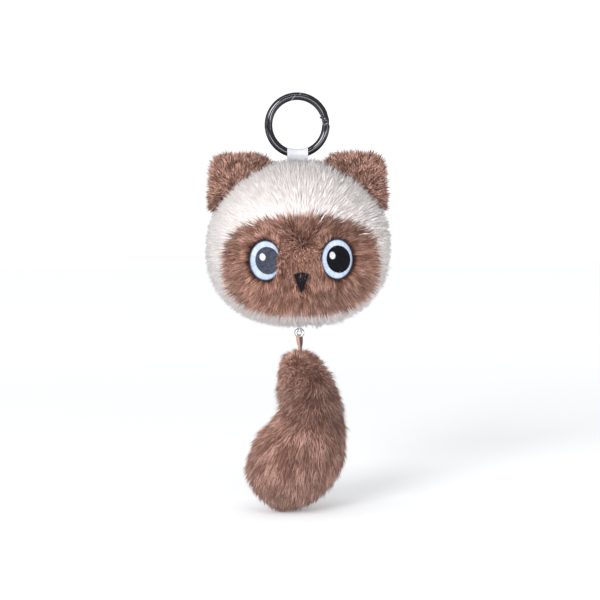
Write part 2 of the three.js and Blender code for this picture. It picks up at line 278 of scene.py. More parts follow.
# Grows a tree's geometry on a source mesh, and keeps only the result as a plain mesh.
def growOn(source, tree, values):
    modifier = source.modifiers.new("grow", "NODES")
    modifier.node_group = tree
    for item in tree.interface.items_tree:
        if item.in_out == "INPUT" and item.name in values:
            modifier[item.identifier] = values[item.name]
    applyModifiers(source)


def combine(target, other, operation):
    modifier = target.modifiers.new("cut", "BOOLEAN")
    modifier.object = other
    modifier.operation = operation
    modifier.solver = "EXACT"
    applyModifiers(target)
    bpy.data.objects.remove(other)


def finishPiece(piece, body, material=None, replaces=()):
    if material:
        piece.data.materials.clear()
        piece.data.materials.append(finishes[material])
    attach(piece, body)
    if replaces:
        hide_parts(*replaces)


def smoothStep(low, high, value):
    share = np.clip((value - low) / (high - low), 0.0, 1.0)
    return share * share * (3.0 - 2.0 * share)


# 1 at a middle and falling away from it on both sides
def hump(value, middle, width):
    return np.exp(-((value - middle) / width) ** 2)


def unit(vectors):
    return vectors / np.maximum(np.linalg.norm(vectors, axis=-1, keepdims=True), 1e-9)


def stacked(x, y, z):
    return np.stack(np.broadcast_arrays(x, y, z), axis=-1)


surfaceOutputs = [("Colour", "colour"), ("Height", "number"), ("Roughness", "number")]


# Colour of a pile fibre: painted shade at its root, its own tone along it, and painted light on the tips of
# some fibres
def makePileEffect():
    inputs = [("Root", "colour"), ("Body", "colour"), ("Tip", "colour"), ("Variation", "number", 0.3)]
    make, given, leave = newTree("pileColour", "ShaderNodeTree", inputs, surfaceOutputs[:1])
    tip, tone, shade = (make.attribute(name) for name in ("tip", "tone", "shade"))
    # The dark root colour is painted shade deep in the pile, and the light tip colour is painted light on its
    # ends
    body = make.mix(make.ramp(tip, 0.0, 0.6), given["Root"], given["Body"])
    lit = make.mix(make.times(make.ramp(tip, 0.45, 1.0), make.ramp(tone, 0.25, 0.9)), body, given["Tip"])
    swing = make.times(make.maths("SUBTRACT", tone, 0.5), given["Variation"])
    # Painted shade: the form's shade value darkens the whole fibre
    value = make.times(make.maths("ADD", swing, 1.0), make.maths("SUBTRACT", 1.0, shade))
    grey = make.out("ShaderNodeCombineColor", {0: value, 1: value, 2: value})
    make.put(leave["Colour"], make.mix(1.0, lit, grey, "MULTIPLY"))
    return make.tree


# Woven cloth on the piece's own map: crossing threads as colour and height
def makeWeaveEffect():
    inputs = [("Cloth", "colour"), ("Gap", "colour"), ("Across", "number", 40.0), ("Along", "number", 40.0)]
    make, given, leave = newTree("weave", "ShaderNodeTree", inputs, surfaceOutputs)
    place = make.out("ShaderNodeUVMap", uv_map="clothMap")
    waves = []
    for axis, count in zip(make.parts(place), ("Across", "Along")):
        waves.append(make.maths("SINE", make.times(make.times(axis, given[count]), 2 * math.pi)))
    threads = make.ramp(make.times(*waves), -0.7, 0.7)
    slow = make.noise(place, 9.0, 3.0)[0]
    share = make.maths("MULTIPLY_ADD", threads, 0.6, make.times(slow, 0.4))
    make.put(leave["Colour"], make.mix(share, given["Gap"], given["Cloth"]))
    make.put(leave["Height"], threads)
    make.put(leave["Roughness"], make.ramp(slow, 0.2, 0.8, 0.3, 0.55))
    return make.tree


# Spun thread: fine fibres with a tone of its own for each stitch or ply, mixed between the thread and its
# Shadow colour; on the tail's band the tone runs along it, so there the Shadow colour is painted shade
def makeThreadEffect():
    inputs = [("Thread", "colour"), ("Shadow", "colour"), ("Fibre Scale", "number", 2500.0)]
    make, given, leave = newTree("spunThread", "ShaderNodeTree", inputs, surfaceOutputs)
    tone = make.attribute("tone")
    fibre = make.noise(make.objectPlace(), given["Fibre Scale"])[0]
    share = make.maths("MULTIPLY_ADD", tone, 0.55, make.times(fibre, 0.5))
    make.put(leave["Colour"], make.mix(make.ramp(share, 0.1, 0.85), given["Shadow"], given["Thread"]))
    make.put(leave["Height"], fibre)
    make.put(leave["Roughness"], make.ramp(tone, 0.0, 1.0, 0.32, 0.5))
    return make.tree


# Polished metal: faint smudges, hairline scratches and a slightly brighter worn edge
def makePolishEffect():
    inputs = [("Metal", "colour"), ("Worn", "colour"), ("Gloss", "number", 0.14), ("Dull", "number", 0.3)]
    make, given, leave = newTree("polish", "ShaderNodeTree", inputs, surfaceOutputs)
    place = make.objectPlace()
    smudge = make.noise(place, 160.0, 4.0)[0]
    hair = make.noise(make.vector("MULTIPLY", place, (900.0, 5200.0, 900.0)), 1.0)[0]
    edge = make.node("ShaderNodeNewGeometry").outputs["Pointiness"]
    wear = make.times(make.ramp(edge, 0.52, 0.6), smudge)
    share = make.times(make.ramp(smudge, 0.35, 0.75), make.ramp(hair, 0.3, 0.8, 0.6, 1.0))
    span = make.maths("SUBTRACT", given["Dull"], given["Gloss"])
    make.put(leave["Colour"], make.mix(wear, given["Metal"], given["Worn"]))
    make.put(leave["Height"], hair)
    make.put(leave["Roughness"], make.maths("MULTIPLY_ADD", span, share, given["Gloss"]))
    return make.tree


# What each kind of surface sets on the shader's own sockets, its bump's strength and depth, and which of its
# colours tints the sheen.
surfaces = {
    "pile": {
        "effect": makePileEffect(),
        "plain": {
            "Roughness": 0.75,
            "Specular IOR Level": 0.25,
            "Sheen Weight": 0.35,
            "Sheen Roughness": 0.45,
        },
        "tint": 2,
    },
    "cloth": {
        "effect": makeWeaveEffect(),
        "plain": {"Specular IOR Level": 0.4, "Sheen Weight": 0.3},
        "bump": (0.4, 0.0001),
        "tint": 0,
    },
    "thread": {
        "effect": makeThreadEffect(),
        "plain": {"Specular IOR Level": 0.4, "Sheen Weight": 0.1},
        "bump": (0.35, 0.0001),
        "tint": 0,
    },
    "metal": {"effect": makePolishEffect(), "plain": {"Metallic": 1.0}, "bump": (0.008, 0.00003)},
}


# A material of one kind of surface. Its values go to the effect's inputs in their order.
def makeFinish(name, kind, values, changes=None):
    surface = surfaces[kind]
    material = bpy.data.materials.new(name)
    material.use_nodes = True
    make = nodeMaker(material.node_tree)
    shader = material.node_tree.nodes["Principled BSDF"].inputs
    group = make.node("ShaderNodeGroup", node_tree=surface["effect"])
    for socket, value in zip(group.inputs, values):
        socket.default_value = (*value, 1) if isinstance(value, tuple) else value
    for key, value in {**surface["plain"], **(changes or {})}.items():
        shader[key].default_value = value
    if "tint" in surface:
        shader["Sheen Tint"].default_value = (*values[surface["tint"]], 1)
    make.put(shader["Base Color"], group.outputs["Colour"])
    if "bump" in surface:
        strength, depth = surface["bump"]
        make.put(shader["Roughness"], group.outputs["Roughness"])
        inputs = {"Height": group.outputs["Height"], "Strength": strength, "Distance": depth}
        make.put(shader["Normal"], make.out("ShaderNodeBump", inputs))
    return material


finishTable = {
    "creamPile": ("pile", [(0.86, 0.77, 0.74), (0.93, 0.87, 0.85), (0.95, 0.91, 0.9), 0.06]),
    "maskPile": ("pile", [(0.05, 0.019, 0.012), (0.32, 0.148, 0.104), (0.84, 0.53, 0.43), 1.15]),
    "earPile": ("pile", [(0.02, 0.008, 0.006), (0.15, 0.068, 0.048), (0.76, 0.47, 0.38), 1.4]),
    "tailPile": ("pile", [(0.05, 0.018, 0.012), (0.305, 0.14, 0.102), (0.86, 0.58, 0.49), 1.15]),
    # The backing cloths are darker than their pile as painted shade in the gaps between fibres
    "creamBacking": ("cloth", [(0.8, 0.72, 0.69), (0.6, 0.52, 0.49), 160.0, 160.0]),
    "brownBacking": ("cloth", [(0.14, 0.065, 0.05), (0.07, 0.03, 0.022), 160.0, 160.0]),
    "ribbon": ("cloth", [(0.6, 0.61, 0.635), (0.5, 0.51, 0.54), 46.0, 120.0]),
    "gunmetal": ("metal", [(0.06, 0.06, 0.066), (0.16, 0.16, 0.17), 0.06, 0.12]),
    "silver": ("metal", [(0.4, 0.4, 0.42), (0.6, 0.6, 0.62), 0.14, 0.3]),
    "springSteel": ("metal", [(0.5, 0.5, 0.52), (0.7, 0.7, 0.72), 0.2, 0.4]),
    "threadNavy": ("thread", [(0.035, 0.04, 0.075), (0.008, 0.009, 0.02)]),
    "threadBlue": ("thread", [(0.5, 0.58, 0.7), (0.32, 0.39, 0.52)]),
    # The left pupil's black thread, made lighter as painted sheen
    "threadSlate": ("thread", [(0.06, 0.07, 0.105), (0.018, 0.02, 0.033)],
                    {"Sheen Weight": 0.0, "Specular IOR Level": 0.3}),
    "threadBlack": ("thread", [(0.008, 0.008, 0.011), (0.002, 0.002, 0.003)],
                    {"Sheen Weight": 0.0, "Specular IOR Level": 0.1}),
    "threadWhite": ("thread", [(0.74, 0.76, 0.82), (0.5, 0.52, 0.58)]),
    "loopThread": ("thread", [(0.82, 0.82, 0.84), (0.5, 0.5, 0.52)]),
    # The band's near-black Shadow colour is painted shade on its back ply
    "brownBand": ("thread", [(0.4, 0.23, 0.175), (0.02, 0.006, 0.004), 1400.0], {"Specular IOR Level": 0.5}),
}
finishes = {name: makeFinish(name, *row) for name, row in finishTable.items()}
print("finishes made")


# A pile of closed tapered fibres grown on a form. The form carries, at each of its points: comb, the way the
# pile lies; pile, its length; cover, how thickly it grows; lift, how far it stands up; mess, how wildly it
# parts; and shade, painted shade that darkens its colour, with values below 0 as painted light. Each random
# draw has its own shift of the seed.
def makeFurTree():
    inputs = [("Geometry", "shape"), ("seed", "whole"), ("finish", "finish")]
    inputs += [(name, "number") for name in ("density", "thickness", "bend", "wildness", "sway", "lockSize",
                                             "lockPull", "curl")]
    make, given, leave = newTree("furPile", "GeometryNodeTree", inputs, [("Geometry", "shape")])
    times, add = make.times, lambda first, second: make.vector("ADD", first, second)

    def chance(shift, low, high, kind="FLOAT"):
        return make.chance(make.maths("ADD", given["seed"], shift), low, high, kind)

    density = times(given["density"], make.read("cover"))
    inputs = {"Mesh": given["Geometry"], "Density": density, "Seed": given["seed"]}
    points = make.node("GeometryNodeDistributePointsOnFaces", inputs).outputs["Points"]
    place = make.out("GeometryNodeInputPosition")
    points = make.store(points, "rootAt", place, "FLOAT_VECTOR")
    root = make.read("rootAt", "FLOAT_VECTOR")
    lockScale = make.maths("DIVIDE", 1.0, given["lockSize"])
    lock = make.node("ShaderNodeTexVoronoi", {"Vector": root, "Scale": lockScale}).outputs
    tone = make.maths("MULTIPLY_ADD", chance(11, 0.0, 1.0), 0.55, times(make.parts(lock["Color"])[0], 0.45))
    points = make.store(points, "tone", tone)
    points = make.store(points, "reach", times(make.read("pile"), chance(23, 0.72, 1.12)))

    # The way each fibre leaves the form
    comb, up, mess = make.read("comb", "FLOAT_VECTOR"), make.read("upAt", "FLOAT_VECTOR"), make.read("mess")
    sway = make.vector("SUBTRACT", make.noise(root, times(lockScale, 0.35), 1.0)[1], (0.5, 0.5, 0.5))
    sway = make.scaled(sway, times(times(given["sway"], mess), 3.0))
    stray = chance(37, (-1.0, -1.0, -1.0), (1.0, 1.0, 1.0), "FLOAT_VECTOR")
    stray = make.scaled(stray, times(given["wildness"], mess))
    way = add(add(make.scaled(up, make.read("lift")), comb), add(sway, stray))
    options = {"primary_axis": "Z", "secondary_axis": "X"}
    turned = make.out("FunctionNodeAxesToRotation", {0: way, 1: comb}, **options)

    # One fibre: three sides, a belly and a point
    inputs = {"Vertices": 3, "Side Segments": 2, "Radius Top": 0.0, "Radius Bottom": 1.0, "Depth": 1.0}
    fibre = make.out("GeometryNodeMeshCone", inputs)
    height = make.parts(place)[2]
    full = make.maths("MULTIPLY_ADD", make.maths("PINGPONG", height, 0.5), 1.6, 1.0)
    inputs = {"Geometry": fibre, "Position": make.vector("MULTIPLY", place, make.join(full, full, 1.0))}
    fibre = make.store(make.out("GeometryNodeSetPosition", inputs), "tip", height)
    width = times(given["thickness"], chance(51, 0.75, 1.2))
    made = make.plant(points, fibre, turned, make.join(width, width, make.read("reach")))

    # Bend along the comb, gather into locks, and a little curl towards the tips
    tip = make.read("tip")
    tipSquared = times(tip, tip)
    sweep = times(times(given["bend"], make.read("reach")), tipSquared)
    pull = times(given["lockPull"], make.maths("MINIMUM", mess, 1.1))
    gathered = make.scaled(make.vector("SUBTRACT", lock["Position"], root), times(pull, tipSquared))
    curl = make.vector("SUBTRACT", make.noise(place, times(lockScale, 1.3), 1.0)[1], (0.5, 0.5, 0.5))
    bent = add(make.scaled(comb, sweep), make.scaled(up, times(sweep, -0.45)))
    moves = add(bent, add(gathered, make.scaled(curl, times(given["curl"], tip))))
    made = make.out("GeometryNodeSetPosition", {"Geometry": made, "Offset": moves})
    spent = ("rootAt", "upAt", "comb", "reach", "pile", "cover", "lift", "mess")
    return make.complete(made, spent, given["finish"], leave)


furTree = makeFurTree()


# Grows a piece of fur of about so many fibres. The density comes from the form's own covered area.
def growFur(name, grid, values, look, finish, body, seed):
    piece = meshPiece(name, grid.reshape(-1, 3), gridFaces(*grid.shape[:2], wrap=False))
    values["pile"] = values["pile"] * mm
    for key, value in values.items():
        value = np.broadcast_to(value, grid.shape if key in ("comb", "upAt") else grid.shape[:2])
        values[key] = value.reshape(-1, 3) if value.ndim == 3 else value.reshape(-1)
        addValues(piece, key, values[key])
    area = sum(f.area * float(np.mean(values["cover"][list(f.vertices)])) for f in piece.data.polygons)
    settings = dict(look)
    for key in ("thickness", "lockSize", "curl"):
        settings[key] = look[key] * mm
    settings.update(density=look["fibres"] / area, seed=seed, finish=finishes[finish])
    growOn(piece, furTree, settings)
    finishPiece(piece, body)
    print("fur", name, len(piece.data.polygons))


head = {
    "halfWidth": 45.0,
    "halfDepth": 29.0,
    "middle": -75.0,
    "up": 43.6,
    "down": 38.4,
    "cheeks": 2.35,
    "skinInset": 3.8,
    "bridge": (0.6, -74.0),       # the pile flows away from this point of the face, x and z
    "maskCentre": (0.9, -82.4),
    "maskHalf": (33.0, 19.8),
    "maskSquareness": 2.9,
}
eyes = {
    "centres": {"left": (-17.0, -80.0), "right": (18.3, -79.7)},
    "half": (7.9, 9.9),
    "ring": (7.45, 9.45),
    "pupil": (5.85, 6.75),
    "pupilShift": {"left": 1.0, "right": 0.6},
    "glint": (1.45, 1.75),
    "glintShift": {"left": (-2.4, 1.8), "right": (-3.0, 1.9)},
    "overlap": 5.9,               # the bridge's pile lies over the left eye beyond this distance
}
nose = {"top": -85.9, "tip": -96.4, "half": 4.3, "middle": 0.5}


# The form is round above its middle and squarer below, towards the cheeks.
def headPower(z):
    return np.where(z > 0, 2.0, head["cheeks"])


def headPoints(around, rise, offset):
    power = headPower(rise)
    tall = np.where(rise > 0, head["up"], head["down"]) + offset
    flat = np.cos(rise) ** (2 / power)
    x = (head["halfWidth"] + offset) * flat * np.sin(around)
    y = -(head["halfDepth"] + offset) * flat * np.cos(around)
    return stacked(x, y, head["middle"] + tall * np.sign(rise) * np.abs(np.sin(rise)) ** (2 / power))


def headNormals(points):
    z = points[..., 2] - head["middle"]
    power = headPower(z)
    tall = np.where(z > 0, head["up"], head["down"])
    across = points[..., 0] / head["halfWidth"] ** 2
    deep = points[..., 1] / head["halfDepth"] ** 2
    level = np.maximum(across * points[..., 0] + deep * points[..., 1], 1e-6) ** (power / 2 - 1)
    return unit(stacked(level * across, level * deep, np.sign(z) * np.abs(z / tall) ** (power - 1) / tall))


# Front of the head's form at x and z, grown by an offset
def faceY(x, z, offset=0.0):
    z = np.asarray(z, float) - head["middle"]
    power = headPower(z)
    tall = np.where(z > 0, head["up"], head["down"]) + offset
    level = np.maximum(1.0 - np.abs(z / tall) ** power, 0.0) ** (2 / power)
    inside = level - (x / (head["halfWidth"] + offset)) ** 2
    return -(head["halfDepth"] + offset) * np.sqrt(np.maximum(inside, 0.0))


def onFace(x, z, offset=0.0):
    return stacked(x, faceY(x, z, offset), z)


# 1 on the mask's outline, less inside it
def maskValue(x, z):
    centre, half, power = head["maskCentre"], head["maskHalf"], head["maskSquareness"]
    across, along = np.abs((x - centre[0]) / half[0]), np.abs((z - centre[1]) / half[1])
    return (across ** power + along ** power) ** (1.0 / power)


# 1 on an eye's outline, less inside it
def eyeValue(x, z, centre):
    return np.hypot((x - centre[0]) / eyes["half"][0], (z - centre[1]) / eyes["half"][1])


# Distance from the nose's triangle, below 0 inside
def noseValue(x, z):
    share = np.clip((z - nose["tip"]) / (nose["top"] - nose["tip"]), 0.0, 1.0)
    side = np.abs(x - nose["middle"]) - nose["half"] * share
    return np.maximum(side, np.maximum(z - nose["top"], nose["tip"] - z))


# The crease under the nose, 1 in its middle
def creaseValue(x, z):
    return hump(x, 0.0, 1.3) * smoothStep(-93.5, -97.0, z) * smoothStep(-103.0, -99.0, z)


def tangent(vectors, normals):
    return unit(vectors - normals * np.sum(vectors * normals, axis=-1, keepdims=True))


# Angles round and up for a grid of points, in radians
def anglesOf(around, rise):
    return np.meshgrid(np.radians(around), np.radians(rise))


# Away from the bridge on most of the face, down between the eyes and at the back, and short, so that the pile
# stands up, at the bridge itself
def headComb(points, normals):
    bridge = onFace(*head["bridge"])
    away = tangent(points - bridge, normals)
    down = tangent(np.broadcast_to(np.array([0.0, 0.35, -1.0]), points.shape), normals)
    share = smoothStep(-4.0, 20.0, points[..., 1])
    between = smoothStep(20.0, 5.0, np.linalg.norm((points - bridge) * np.array([1.25, 0.0, 0.6]), axis=-1))
    between = 0.8 * between * (points[..., 1] < 0) * smoothStep(-66.0, -76.0, points[..., 2])
    share = np.maximum(share, between)[..., None]
    lying = smoothStep(1.0, 15.0, np.linalg.norm(points - bridge, axis=-1))[..., None]
    return tangent(away * (1 - share) + down * share, normals) * (0.12 + 0.88 * lying)


# The pile near the eyes and nose: it turns away from an eye, grows shorter beside it, and parts under
# the nose, where it is darkened as painted shade in the crease.
def dressFace(points, normals, values):
    x, z = points[..., 0], points[..., 2]
    comb, pile, cover = values["comb"], values["pile"], values["cover"]
    lift, shade, mess = values["lift"], values["shade"], values["mess"]
    between = np.exp(-(x / 11.0) ** 2 - ((z + 76.0) / 12.0) ** 2)
    mess = mess + 1.4 * between
    lift = lift + 0.8 * between
    calm = np.zeros(x.shape)
    for side, centre in eyes["centres"].items():
        near = eyeValue(x, z, centre)
        inward = 1.0 if side == "left" else -1.0
        inner = (x - centre[0]) * inward > 0
        hold = (smoothStep(1.7, 1.15, near) * np.where(inner, 0.9, 0.35))[..., None]
        # Down beside the eye on its inner side, and outward from it above and all round the rest
        outward = stacked(x - centre[0], 0.0, (z - centre[1]) * 0.8)
        above = smoothStep(0.5, 6.0, z - centre[1])[..., None]
        falling = np.array([0.3 * inward, 0.0, -1.0]) * (1 - above) + outward * 0.15 * above
        comb = comb * (1 - hold) + tangent(np.where(inner[..., None], falling, outward), normals) * hold
        pile = pile * (1 - smoothStep(1.4, 1.05, near) * np.where(inner, 0.0, 0.12))
        lift = lift + smoothStep(1.4, 1.0, near) * 2.4
        clear = smoothStep(0.97, 0.99, near)
        calm = np.maximum(calm, smoothStep(1.6, 1.1, near))
        if side == "left":
            lap = smoothStep(eyes["overlap"] - 0.3, eyes["overlap"] + 0.3, x - centre[0])
            clear = np.maximum(clear, lap)
            beside = lap * smoothStep(1.3, 1.05, near)
            comb = comb * (1 - 0.75 * beside)[..., None]
            pile = pile * (1 + 0.3 * beside)
            cover = cover * (1 + 0.8 * beside)
            calm = np.maximum(calm, beside)
        cover = cover * clear * (1 + 1.4 * smoothStep(1.25, 1.0, near))
    toNose = noseValue(x, z)
    overNose = smoothStep(3.0, 0.4, toNose)
    crease = creaseValue(x, z)
    lean = tangent(np.broadcast_to(np.array([-1.0, 0.0, -1.0]), points.shape), normals)
    comb = comb * (1 - 0.8 * overNose)[..., None] + lean * (crease * (x > 0.4))[..., None] * 0.8
    values.update(
        comb=comb,
        pile=pile * (1 - smoothStep(4.0, 0.0, toNose) * 0.3) * (1 - crease * 0.62),
        cover=cover * smoothStep(-0.6, -0.2, toNose),
        lift=lift + 0.6 * overNose,
        # Painted shade in the crease under the nose
        shade=np.clip(shade + crease * 0.6, -0.2, 0.8),
        mess=mess * (1 - 0.75 * np.maximum(calm, overNose)),
    )


creamFur = {
    "fibres": 18500, "length": 8.6, "thickness": 0.35, "lift": 1.0, "bend": 0.35,
    "wildness": 0.4, "sway": 0.32, "lockSize": 3.4, "lockPull": 0.5, "curl": 1.8,
}
maskFur = {
    "fibres": 18500, "length": 7.6, "thickness": 0.21, "lift": 1.25, "bend": 0.3,
    "wildness": 0.36, "sway": 0.6, "lockSize": 2.2, "lockPull": 0.75, "curl": 2.8,
}


# What the pile reads on the head. It leaves room for the ribbon above and the sewn loop below.
def headValues(points, normals, look):
    x, y, z = points[..., 0], points[..., 1], points[..., 2]
    beside = smoothStep(1.2, 1.9, np.abs(y)) + smoothStep(5.6, 6.6, np.abs(x)) + smoothStep(-36.0, -40.0, z)
    fromMiddle = np.hypot(x, y)
    below = smoothStep(1.2, 2.0, fromMiddle) + smoothStep(-100.0, -90.0, z)
    shorter = (1 - 0.25 * smoothStep(12.0, 3.0, fromMiddle)) * (1 - 0.12 * smoothStep(-102.0, -112.0, z))
    return {
        "comb": headComb(points, normals),
        "upAt": normals,
        "pile": look["length"] * shorter,
        "cover": np.clip(beside, 0, 1) * np.clip(below, 0, 1),
        "lift": look["lift"],
        "shade": 0.0,
        "mess": 0.25 + 0.85 * smoothStep(-8.0, 18.0, x) * smoothStep(0.0, -12.0, y),
    }


def makeHeadFur():
    rise = np.linspace(88.5, -88.5, 110)
    for name, start, seed in (("front", -90, 3), ("back", 90, 7)):
        points = headPoints(*anglesOf(np.linspace(start, start + 180, 96), rise), -head["skinInset"])
        normals = headNormals(points)
        values = headValues(points, normals, creamFur)
        if name == "front":
            x, z = points[..., 0], points[..., 2]
            inMask = maskValue(x, z)
            values["cover"] = values["cover"] * smoothStep(0.94, 1.08, inMask)
            values["pile"] = values["pile"] * (1 - 0.15 * smoothStep(1.25, 1.0, inMask))
        growFur(f"head_{name}_fur", points, values, creamFur, "creamPile", "head", seed)
        if name == "front":
            makeMaskFur(points, normals, inMask)


# The brown pile of the face, with painted shade at its top, its right side, its left edge and low on the
# right, and painted light low on the left
def makeMaskFur(points, normals, inMask):
    x, z = points[..., 0], points[..., 2]
    values = headValues(points, normals, maskFur)
    values["cover"] = values["cover"] * smoothStep(1.07, 0.93, inMask)
    values["lift"] = values["lift"] + 0.3 * smoothStep(0.85, 1.0, inMask)
    # Painted shade and painted light in the mask pile's colour
    shade = 0.1 + 0.24 * smoothStep(-78.0, -66.0, z)
    shade += 0.1 * smoothStep(0.0, 16.0, x) * smoothStep(30.0, 20.0, x)
    shade += 0.16 * smoothStep(-20.0, -28.0, x) - 0.24 * hump(x, -10.0, 14.0) * hump(z, -99.0, 9.0)
    values["shade"] = shade + 0.12 * hump(x, 14.0, 12.0) * hump(z, -98.0, 9.0)
    values["mess"] = 1.1
    dressFace(points, normals, values)
    growFur("face_mask_fur", points, values, maskFur, "maskPile", "head", 5)


cushions = {
    "seamWidth": 2.2,
    "seamDepth": 0.9,
    "fill": {"head": 0.85, "mask": 0.45, "ear": 0.45, "tail": 0.8},
    "underFur": 0.3,              # how far a stuffed form lies inside the pile's roots
    "maskThickness": 1.4,
}


def seamDip(distance):
    return cushions["seamDepth"] * hump(distance, 0.0, cushions["seamWidth"])


def makeHeadCushion():
    around, rise = anglesOf(np.arange(0, 360, 3.75), np.linspace(86, -86, 47))
    rings = headPoints(around, rise, -head["skinInset"] - cushions["underFur"])
    x, y, z = rings[..., 0], rings[..., 1], rings[..., 2]
    atMask = seamDip((maskValue(x, z) - 1) * 30) + creaseValue(x, z) * 1.2
    rings = rings - headNormals(rings) * (seamDip(y) + np.where(y < 0, atMask, 0))[..., None]
    inset = head["skinInset"] + 2 * cushions["underFur"]
    top = (0, 0, head["middle"] + head["up"] - inset)
    piece = closedForm("head_cushion", rings, top, (0, 0, head["middle"] - head["down"] + inset))
    nodes = ("head_front", "head_back", "head_stuffing")
    finishPiece(piece, "head", "creamBacking", nodes)


# A closed pad on the face: its outline about a centre, drawn in and raised at each (share, offset) step
def facePad(name, centre, outline, steps):
    rings = []
    for share, offset in steps:
        rings.append(onFace(centre[0] + outline[0] * share, centre[1] + outline[1] * share, offset))
    return closedForm(name, rings, onFace(*centre, steps[0][1]), onFace(*centre, steps[-1][1]))


# The mask's cloth: a thin pad that lies on the front of the head's form, with its rim turned in
def makeMaskCloth():
    turns = np.radians(np.arange(0, 360, 5))
    power = 2.0 / head["maskSquareness"]
    ways = (np.cos(turns), np.sin(turns))
    outline = [np.sign(way) * np.abs(way) ** power * half for way, half in zip(ways, head["maskHalf"])]
    top = -head["skinInset"] + 0.15
    shares = (0.15, 0.35, 0.55, 0.75, 0.9, 1.0)
    steps = [(share, top - 0.5 * float(smoothStep(0.85, 1.0, share))) for share in shares]
    steps += [(share, top - cushions["maskThickness"]) for share in shares[::-1]]
    piece = facePad("mask_cloth", head["maskCentre"], outline, steps)
    finishPiece(piece, "head", "brownBacking", ("face_mask",))


makeHeadCushion()
makeMaskCloth()
makeHeadFur()
print("head made")

ear = {
    "outline": [(-44.1, 19.4), (-44.2, 39.0), (-42.4, 45.0), (-36.9, 47.4), (-22.0, 47.4), (-15.6, 45.5),
                (-12.5, 40.7), (-20.0, 25.0)],     # the left ear's, x and height over the head's middle
    "centre": (-31.0, 33.0),
    "seam": 1.0,
    "halfThickness": 3.2,
    "inset": 2.6,
    "columns": 72,
}
earFur = {
    "fibres": 6200, "length": 4.9, "thickness": 0.2, "lift": 1.4, "bend": 0.3,
    "wildness": 0.75, "sway": 0.5, "lockSize": 1.9, "lockPull": 0.6, "curl": 3.2,
}


# How far the ear's outline lies from its centre at each angle, less the pile
def outlineReach(angles):
    corners = np.array(ear["outline"]) - np.array(ear["centre"])
    reach = []
    for angle in angles:
        way = (math.cos(angle), math.sin(angle))
        best = 0.0
        for a, b in zip(corners, np.roll(corners, -1, axis=0)):
            edge = b - a
            cross = way[0] * edge[1] - way[1] * edge[0]
            if abs(cross) < 1e-9:
                continue
            along = (a[0] * edge[1] - a[1] * edge[0]) / cross
            part = (a[0] * way[1] - a[1] * way[0]) / cross
            if along > 0 and -1e-9 <= part <= 1 + 1e-9:
                best = max(best, along)
        reach.append(best - ear["inset"])
    return np.array(reach)


# One side of an ear's pad: rings from its middle to its seam, side -1 in front and 1 behind
def earSheet(mirror, side):
    angles = np.linspace(0, 2 * math.pi, ear["columns"], endpoint=False)
    reach = outlineReach(angles)
    rings = []
    for share in np.sin(np.linspace(0.04, 1.0, 16) * math.pi / 2):
        x = ear["centre"][0] + np.cos(angles) * reach * share
        z = ear["centre"][1] + np.sin(angles) * reach * share + head["middle"]
        thick = ear["halfThickness"] * math.sqrt(max(1 - share ** 2.4, 0.0))
        rings.append(stacked(x * mirror, ear["seam"] + side * thick, z))
    return np.array(rings)


def makeEar(label, mirror):
    sides = {"front": earSheet(mirror, -1), "back": earSheet(mirror, 1)}
    middle = np.array([ear["centre"][0] * mirror, ear["seam"], ear["centre"][1] + head["middle"]])
    deep = np.array([0, ear["halfThickness"], 0])
    rings = np.concatenate([sides["front"], sides["back"][::-1][1:]])
    piece = closedForm(f"ear_cushion_{label}", rings, middle - deep, middle + deep)
    nodes = (f"ear_{label}_front", f"ear_{label}_back")
    finishPiece(piece, "head", "brownBacking", nodes)
    for name, side, seed in (("front", -1, 11), ("back", 1, 17)):
        grid = np.concatenate([sides[name], sides[name][:, :1]], axis=1)
        if mirror * side > 0:
            grid = grid[:, ::-1]
        flat = grid - middle
        x, z = grid[..., 0], grid[..., 2] - head["middle"]
        inHead = np.hypot(x / (head["halfWidth"] - 6), z / (head["up"] - 6))
        values = {
            "comb": unit(stacked(flat[..., 0], 0.0, flat[..., 2] + 6.0)),
            "upAt": unit(flat * np.array([0.02, 1.0, 0.02]) + np.array([0, side * 0.3, 0])),
            "pile": earFur["length"],
            "cover": smoothStep(0.9, 1.0, inHead),
            "lift": earFur["lift"],
            # Painted shade where the ear's base meets the head
            "shade": 0.4 * smoothStep(1.2, 1.0, inHead),
            "mess": 1.0,
        }
        piece = f"ear_{label}_{name}_fur"
        growFur(piece, grid, values, earFur, "earPile", "head", seed + mirror)


makeEar("left", 1)
makeEar("right", -1)
print("ears made")

tail = {
    "top": -126.6,
    "bottom": -206.0,
    "depthShare": 0.78,
    "skinInset": 3.6,
    "rows": [(0.0, -1.0, 19.0), (0.17, 3.0, 17.0), (0.36, 5.0, 15.6), (0.54, 1.4, 20.8), (0.74, -2.8, 26.0),
             (1.0, -6.4, 28.2)],   # share down, centre x, fullness
    "whorl": (8.0, -149.0),       # the pile fans out from this point, x and z
}
tailFur = {
    "fibres": 19000, "length": 8.3, "thickness": 0.23, "lift": 0.85, "bend": 0.36,
    "wildness": 0.36, "sway": 0.45, "lockSize": 2.6, "lockPull": 0.75, "curl": 2.6,
}


# Smooth curve through one column of the tail's rows
def tailColumn(share, column):
    marks, values = np.array(tail["rows"])[:, [0, column]].T
    slopes = np.gradient(values, marks)
    share = np.clip(share, 0.0, 1.0)
    index = np.clip(np.searchsorted(marks, share, side="right") - 1, 0, len(marks) - 2)
    span = marks[index + 1] - marks[index]
    t = (share - marks[index]) / span
    first = (2 * t ** 3 - 3 * t ** 2 + 1) * values[index] + (t ** 3 - 2 * t ** 2 + t) * span * slopes[index]
    second = (3 * t ** 2 - 2 * t ** 3) * values[index + 1] + (t ** 3 - t ** 2) * span * slopes[index + 1]
    return first + second


